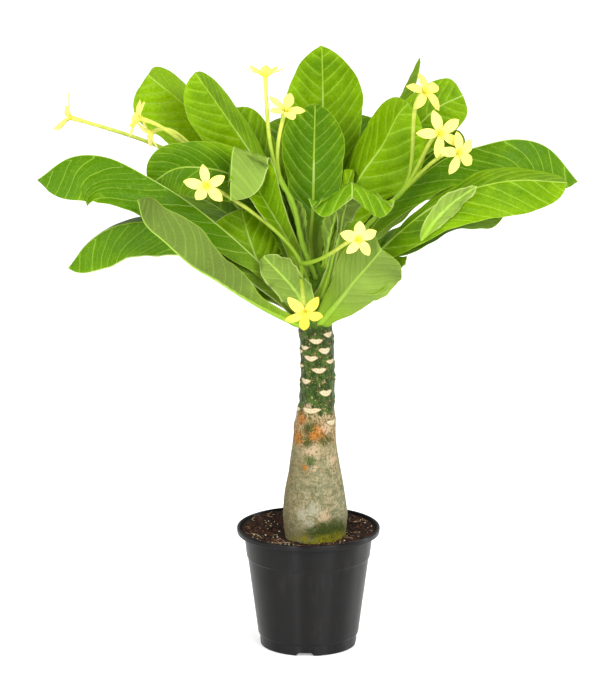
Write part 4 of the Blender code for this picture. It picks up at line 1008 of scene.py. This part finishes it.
# Where each stalk leaves the stem, the points it passes, and its flowers: the middle of the star, the azimuth
# and elevation it faces, the turn of its first petal and how far the petals bend back, forward where it is
# negative. Loose is how unevenly they bend, ripe how orange they are, and leaving the way in which a tube
# leaves its fork
sprays = {
    "front": dict(seat=(237, 336), stalk=((-5, -29, 356), (-8, -29, 364)), flowers=(
        dict(centre=(-90, -71, 443), facing=(-86, 7), turn=80, reflex=2.0),
        dict(centre=(44, -110, 404), facing=(-72, 10), turn=92, reflex=2.5, leaving=(-35, 10)),
        dict(centre=(-3, -86, 331), facing=(-85, -22), turn=270, reflex=4.0, ripe=1.0, leaving=(-90, -40)),
    )),
    "middle": dict(seat=(-100, 344), stalk=((-5, -20, 376), (-13, -26, 414), (-24, -30, 437)), flowers=(
        dict(centre=(-38, -36, 536), facing=(100, 79), turn=20, reflex=-5.0, loose=4.0),
        dict(centre=(-20, -44, 506), facing=(-60, 60), turn=60, reflex=-4.0, loose=3.0, ripe=0.3),
    )),
    "left": dict(seat=(163, 330), stalk=((-33, 15, 367), (-63, 22, 404), (-78, 21, 422)), flowers=(
        dict(centre=(-215, 22, 485), facing=(185, 18), turn=90, reflex=-5.0, loose=5.0),
        dict(centre=(-151, -24, 494), facing=(192, 18), turn=60, reflex=-5.0, loose=5.0),
        dict(centre=(-141, -8, 476), facing=(201, -27), turn=90, reflex=-3.0, loose=5.0),
    )),
    "right": dict(seat=(-20, 338), stalk=((33, -14, 371), (62, -20, 405), (81, -22, 424)), flowers=(
        dict(centre=(103, -46, 523), facing=(-50, 30), turn=100, reflex=2.5, ripe=0.5, size=1.08),
        dict(centre=(116, -62, 488), facing=(-70, 10), turn=70, reflex=2.5, ripe=0.25, size=1.15),
        dict(centre=(133, -64, 471), facing=(-55, 0), turn=85, reflex=2.5, ripe=0.4, size=1.15),
    )),
}


def flowerTube(start, way, flower):
    # a curve from the fork into the back of the star; its radius falls from the ovary's and opens at the end
    style = flowerStyle
    facing = heading(*flower["facing"])
    end = np.array(flower["centre"]) - facing * (style["throat"] + 0.4)
    reach = style["tubeEase"] * np.linalg.norm(end - start)
    leaving = heading(*flower["leaving"]) if "leaving" in flower else way
    # the cubic Bezier curve of the two ends and of a point ahead of each
    t = np.linspace(0.0, 1.0, 60)[:, None]
    path = (1 - t) ** 3 * start + 3 * (1 - t) ** 2 * t * (start + leaving * reach)
    path = evenPath(path + 3 * (1 - t) * t ** 2 * (end - facing * reach) + t ** 3 * end, style["spacing"])
    run, length = np.linspace(0.0, 1.0, len(path)), runAlong(path)[-1]
    ovary = smoothStep(1.0 - run * length / style["ovaryLength"])
    radii = style["tubeRadius"] + (style["ovaryRadius"] - style["tubeRadius"]) * ovary
    radii = radii + (style["mouthRadius"] - style["tubeRadius"]) * smoothStep((run - 0.9) / 0.1)
    radii = radii + 0.35 * bell((run * length - style["ovaryLength"]) / 1.6)
    rings = sweep(path, radii, style["sides"])
    return closedTube(rings, dict(towardFlower=run[:, None], ovary=ovary[:, None]))


def flowerAxes(flower):
    # the star's middle, the way it faces, and the level and upward directions over it
    facing = heading(*flower["facing"])
    side = unit(np.cross(facing, (0.0, 0.0, 1.0)))
    return np.array(flower["centre"]), facing, side, np.cross(side, facing)


def petalSheet(flower, turn, draw):
    # s runs from the throat to the tip and t from edge to edge; the petal is channelled along its middle,
    # bends back with the square of s, leans to a side and twists
    style = flowerStyle
    s = np.linspace(0.0, 1.0, 18)[:, None]
    t = np.linspace(-1.0, 1.0, 11)[None, :]
    centre, facing, side, up = flowerAxes(flower)
    length = style["reach"] * flower.get("size", 1.0) * draw.uniform(*style["lengths"])
    shape = powerShape(s, style["petalBase"], style["petalTip"])
    width = style["petalHalfWidth"] * draw.uniform(*style["widths"]) * shape + 1.1 * (1.0 - s) ** 1.5 + 0.12
    reach = style["petalFoot"] + (length - style["petalFoot"]) * s
    back = (flower["reflex"] + flower.get("loose", 1.5) * draw.uniform(-1.0, 1.0)) * s ** 2
    back = back + style["throat"] * 0.8 * (1.0 - smoothStep(s / 0.22))
    back = back - style["channel"] * t ** 2 * np.sin(np.pi * s)
    back = back + 0.35 * draw.uniform(-1.0, 1.0) * np.sin(2.6 * np.pi * s) * t
    back = back + draw.uniform(-1.0, 1.0) * t * s * np.sin(np.pi * s)
    lean = draw.uniform(*style["lean"]) * s ** 2
    sideways, outward = spun(up, side, math.radians(turn))
    upper = reach[..., None] * outward + (t * width + lean)[..., None] * sideways - back[..., None] * facing
    thickness = style["petalThickness"] * (0.35 + 0.65 * np.sqrt(np.clip(1.0 - t ** 2, 0.0, 1.0)))
    layers = dict(fromThroat=s, petalAcross=t, ripeness=flower.get("ripe", 0.0) * draw.uniform(0.6, 1.0))
    return thickSheet(upper + centre + 0.2 * facing, thickness + 0.25 * (1.0 - s), layers)


def throatCup(flower):
    # a small funnel from the tube's mouth to the feet of the petals, and a rounded column in its middle
    bottom = -flowerStyle["throat"]
    centre, facing, side, up = flowerAxes(flower)
    outline = roundCorners([(3.3, 0.1), (2.5, -0.7), (2.35, bottom - 0.4), (0.3, bottom - 0.4),
                            (0.3, bottom + 0.6), (1.6, bottom + 0.8), (2.2, -0.6)], 0.3, 4)
    turn = circle(24)[None, :, None]
    rings = outline[:, :1, None] * (np.cos(turn) * side + np.sin(turn) * up) + outline[:, 1:, None] * facing
    cup = closedRing(rings + centre)
    cup["faces"] = [part[:, ::-1] for part in cup["faces"]]
    height = np.array([-3.0, -2.0, -1.0, 0.0, 0.7, 1.0])
    column = closedTube(sweep(centre + height[:, None] * facing, (0.7, 0.7, 0.75, 0.95, 0.8, 0.3), 12))
    for part in (cup, column):
        none = np.zeros(len(part["points"]))
        part["layers"] = dict(fromThroat=none, petalAcross=none, ripeness=none, underside=none)
    return [cup, column]


def tubeMaterial():
    s = Surface("flowerTube", 0.5, 0.2)
    mottle = s.noise(180.0)
    s.feed("Base Color", s.layered(
        (0.24, 0.37, 0.02),
        (s.layer("towardFlower"), 0.1, 1.0, (0.62, 0.64, 0.11)),
        (mottle, 0.35, 0.7, 0.0, 0.35, (0.19, 0.31, 0.02)),
        (s.layer("ovary"), 0.0, 1.0, 0.0, 0.8, (0.17, 0.30, 0.015)),
    ))
    s.bump(mottle, 0.2, 0.5)
    return s.material


def petalMaterial():
    s = Surface("petalYellow", 0.55, 0.35)
    across = s.layer("petalAcross")
    soft = s.noise(120.0, 2.0)
    lines = s.calc("SINE", s.product(across, 16.0))
    s.feed("Base Color", s.layered(
        (0.88, 0.76, 0.08),
        (soft, 0.3, 0.7, (0.93, 0.86, 0.19)),
        (lines, 0.3, 1.0, 0.0, 0.22, (0.82, 0.66, 0.045)),
        (s.calc("ABSOLUTE", across), 0.0, 0.16, 0.3, 0.0, (0.78, 0.68, 0.05)),
        (s.layer("fromThroat"), 0.0, 0.3, 0.85, 0.0, (0.62, 0.60, 0.04)),
        (s.layer("underside"), 0.0, 1.0, 0.0, 0.4, (0.90, 0.84, 0.24)),
        (s.broken("ripeness", soft, 0.8), 0.05, 1.0, 0.0, 0.9, (0.88, 0.62, 0.02)),
    ))
    s.bump(s.total(lines, soft), 0.12, 0.5)
    return s.material


def buildFlowers():
    style = flowerStyle
    draw = np.random.default_rng(style["seed"])
    green, yellow = tubeMaterial(), petalMaterial()
    for name, spray in sprays.items():
        azimuth, height = spray["seat"]
        lean, radius = stemAt(height)
        axis, outwards = np.array([lean, 0.0, height]), heading(azimuth)
        kneeOut, kneeUp = style["knee"]
        knee = axis + outwards * (radius + kneeOut) + np.array([0.0, 0.0, kneeUp])
        route = [axis + outwards * (radius - 3.0), knee, *np.array(spray["stalk"], float)]
        path = smoothPath(route, style["spacing"])
        way = unit(path[-1] - path[-2])
        knots = 1.0 + 0.12 * np.sin(np.arange(len(path)) * 1.3)
        stalk = sweep(path, style["stalkRadius"] * knots, style["sides"])
        parts = [closedTube(stalk, dict(towardFlower=0.0, ovary=1.0))]
        for index, flower in enumerate(spray["flowers"]):
            parts.append(flowerTube(path[-1] - way * (1.0 + index), way, flower))
            petals = []
            for k in range(style["petals"]):
                turn = flower["turn"] + 360.0 / style["petals"] * k + draw.uniform(*style["turnSpread"])
                petals.append(petalSheet(flower, turn, draw))
            corolla = f"corolla_{name}_{index + 1}"
            addPiece(corolla, joined(petals + throatCup(flower)), yellow, corolla)
        addPiece("spray_" + name, joined(parts), green, "spray_" + name)


buildFlowers()
print("flowers built")


# Soil
soil = {
    "top": 101.0, "reach": 61.0, "gap": 0.3, "rings": 90, "sectors": 260, "seed": 7,
    # how high the soil rises towards the wall, from which radius and over which run, and where it is highest
    "heap": 7.0, "heapFrom": 30.0, "heapRun": 30.0, "heapTurn": 120.0,
    # number, widths and heights of the clods
    "clods": 420, "clodWidths": (1.3, 4.5), "clodHeights": (-0.9, 1.3),
    # crumbs, bark chips and white bits: their number, least and greatest sizes, and places among the colours
    "bits": (
        (1100, (1.0, 0.8, 0.7), (3.4, 2.6, 2.0), (0.1, 0.1, 0.3)),
        (260, (3.0, 1.4, 0.7), (8.0, 3.2, 1.6), (0.1, 0.3, 0.5)),
        (110, (0.8, 0.7, 0.6), (2.4, 2.0, 1.6), (0.7,)),
    ),
    # the radii between which bits lie, and those at which roots start and stay
    "bitsFrom": 28.0, "bitsTo": 59.0, "roots": 30, "rootStarts": (30.0, 56.0), "rootRange": (29.0, 58.5),
    "rootSteps": (1.6, 4.2), "rootThickness": (0.16, 0.32),
    # black peat, two brown barks, white bits and pale roots
    "bitColours": ((0.010, 0.005, 0.003), (0.07, 0.018, 0.005), (0.13, 0.045, 0.014), (0.66, 0.57, 0.36),
                   (0.48, 0.38, 0.22)),
}


def heap(x, y):
    # the soil rises towards the wall, most at the back and the left
    start, run = soil["heapFrom"], soil["heapRun"]
    outwards = smoothStep((np.hypot(x, y) - start) / run)
    return soil["heap"] * outwards * (0.88 + 0.12 * np.cos(np.arctan2(y, x) - math.radians(soil["heapTurn"])))


def clodRelief(x, y):
    # the sum of many round bumps of random place, width and height
    draw = np.random.default_rng(soil["seed"])
    count = soil["clods"]
    placeX, placeY = draw.uniform(-soil["reach"], soil["reach"], (2, count))
    spread = draw.uniform(*soil["clodWidths"], count)
    height = draw.uniform(*soil["clodHeights"], count)
    relief = np.zeros(np.shape(x))
    for cx, cy, width, tall in zip(placeX, placeY, spread, height):
        relief = relief + tall * np.exp(-((x - cx) ** 2 + (y - cy) ** 2) / (2.0 * width ** 2))
    return relief


def soilMaterial():
    s = Surface("peat", 0.92, 0.2)
    crumb = s.noise(420.0, 6.0, 0.75)
    patches = s.noise(70.0)
    grit = s.product(s.ease(s.cells(330.0, "F1"), 0.12, 0.2, 0.5, 0.0), s.ease(patches, 0.4, 0.6))
    s.feed("Base Color", s.layered(
        (0.004, 0.0025, 0.0015),
        (crumb, 0.38, 0.62, (0.030, 0.013, 0.006)),
        (patches, 0.48, 0.68, 0.0, 0.6, (0.060, 0.017, 0.005)),
        (grit, (0.12, 0.07, 0.025)),
    ))
    s.bump(crumb, 1.6, 0.9)
    return s.material


def bitsMaterial():
    # each kind of bit is a number half way between the stops that give it its colour
    s = Surface("soilBits", 0.8, 0.25)
    mottle = s.noise(500.0, 4.0, 0.7)
    ramp = s.add("ShaderNodeValToRGB", {"Fac": s.layer("bitKind")})
    ramp.color_ramp.interpolation = "CONSTANT"
    stops = ramp.color_ramp.elements
    for index, colour in enumerate(soil["bitColours"]):
        stop = stops[index] if index < 2 else stops.new(0.2 * index)
        stop.position = 0.2 * index
        stop.color = (*colour, 1.0)
    darkened = (mottle, 0.35, 0.65, 0.55, 0.0, (0.02, 0.012, 0.008))
    s.feed("Base Color", s.layered(ramp.outputs["Color"], darkened))
    s.bump(mottle, 0.5, 0.7)
    return s.material


def scatterBits(count, least, greatest, kinds, draw):
    # small lumps: a ball of few faces, each point pushed in or out at random, stretched, turned and set down
    # on the soil between the stem and the pot's wall
    polar = np.linspace(0.25, 0.75, 3)[:, None] * np.pi
    base = closedTube(turned(np.sin(polar), np.cos(polar), circle(6)))
    base["points"][-2:] = ((0.0, 0.0, 1.0), (0.0, 0.0, -1.0))
    points = base["points"][None] * draw.uniform(0.7, 1.25, (count, len(base["points"]), 1))
    points = points * (0.5 * draw.uniform(least, greatest, (count, 3)))[:, None, :]
    spin = draw.uniform(0.0, 2.0 * np.pi, count)[:, None]
    tip = draw.normal(0.0, 0.35, count)[:, None]
    x, y, z = points[..., 0], points[..., 1], points[..., 2]
    x, z = spun(x, z, tip)
    x, y = spun(x, y, spin)
    radius = np.sqrt(draw.uniform(soil["bitsFrom"] ** 2, soil["bitsTo"] ** 2, count))
    around = draw.uniform(0.0, 2.0 * np.pi, count)
    placeX, placeY = radius * np.cos(around), radius * np.sin(around)
    placeZ = soil["top"] + clodRelief(placeX, placeY) + heap(placeX, placeY) + 0.2 * least[2]
    points = np.stack([x + placeX[:, None], y + placeY[:, None], z + placeZ[:, None]], -1)
    step = (np.arange(count) * len(base["points"]))[:, None, None]
    faces = [(part[None, :, ::-1] + step).reshape(-1, part.shape[1]) for part in base["faces"]]
    kind = np.repeat(draw.choice(kinds, count), len(base["points"]))
    return dict(points=points.reshape(-1, 3), faces=faces, layers=dict(bitKind=kind))


def scatterRoots(draw):
    # thin pale threads that wander over the soil
    roots = []
    for _ in range(soil["roots"]):
        radius, around = draw.uniform(*soil["rootStarts"]), draw.uniform(0.0, 2.0 * np.pi)
        start = np.array([radius * math.cos(around), radius * math.sin(around)])
        turns = np.cumsum(draw.normal(0.0, 0.55, 5)) + draw.uniform(0.0, 2.0 * np.pi)
        steps = draw.uniform(*soil["rootSteps"]) * np.stack([np.cos(turns), np.sin(turns)], -1)
        track = np.vstack([start, start + np.cumsum(steps, 0)])
        far = np.linalg.norm(track, axis=1, keepdims=True)
        track = track * np.clip(far, *soil["rootRange"]) / far
        rise = soil["top"] + clodRelief(track[:, 0], track[:, 1]) + heap(track[:, 0], track[:, 1])
        rise = rise + draw.uniform(0.0, 1.6, len(track))
        path = smoothPath(np.column_stack([track, rise]), 1.4)
        thick = draw.uniform(*soil["rootThickness"]) * np.linspace(1.0, 0.5, len(path))
        roots.append(closedTube(sweep(path, thick, 6), dict(bitKind=0.9)))
    return roots


def buildSoil():
    top, rim = soil["top"], soil["reach"]
    draw = np.random.default_rng(soil["seed"] + 1)
    # the top is a disc with relief that dies away at the wall; the sides follow the inside of the pot
    radii = np.linspace(0.5, rim, soil["rings"])[:, None]
    turn = circle(soil["sectors"])
    flatX, flatY = radii * np.cos(turn), radii * np.sin(turn)
    level = top + clodRelief(flatX, flatY) * (0.35 + 0.65 * smoothStep((rim - radii) / 3.0))
    floorTop = pot["lift"] + pot["wall"] + soil["gap"]
    wallHeights = np.array([top + 3.5, top - 1.0, pot["stepHeight"], pot["footTop"] + 0.9, floorTop])
    sides = turned(innerRadius(wallHeights) - soil["gap"], wallHeights, turn)
    shape = closedTube(np.concatenate([turned(radii, level + heap(flatX, flatY), turn), sides]))
    shape["faces"] = [part[:, ::-1] for part in shape["faces"]]
    addPiece("soilTop", shape, soilMaterial(), "soil")
    bits = [scatterBits(*kind, draw) for kind in soil["bits"]]
    addPiece("soilBits", joined(bits + scatterRoots(draw)), bitsMaterial(), "soil")


buildSoil()
print("soil built")
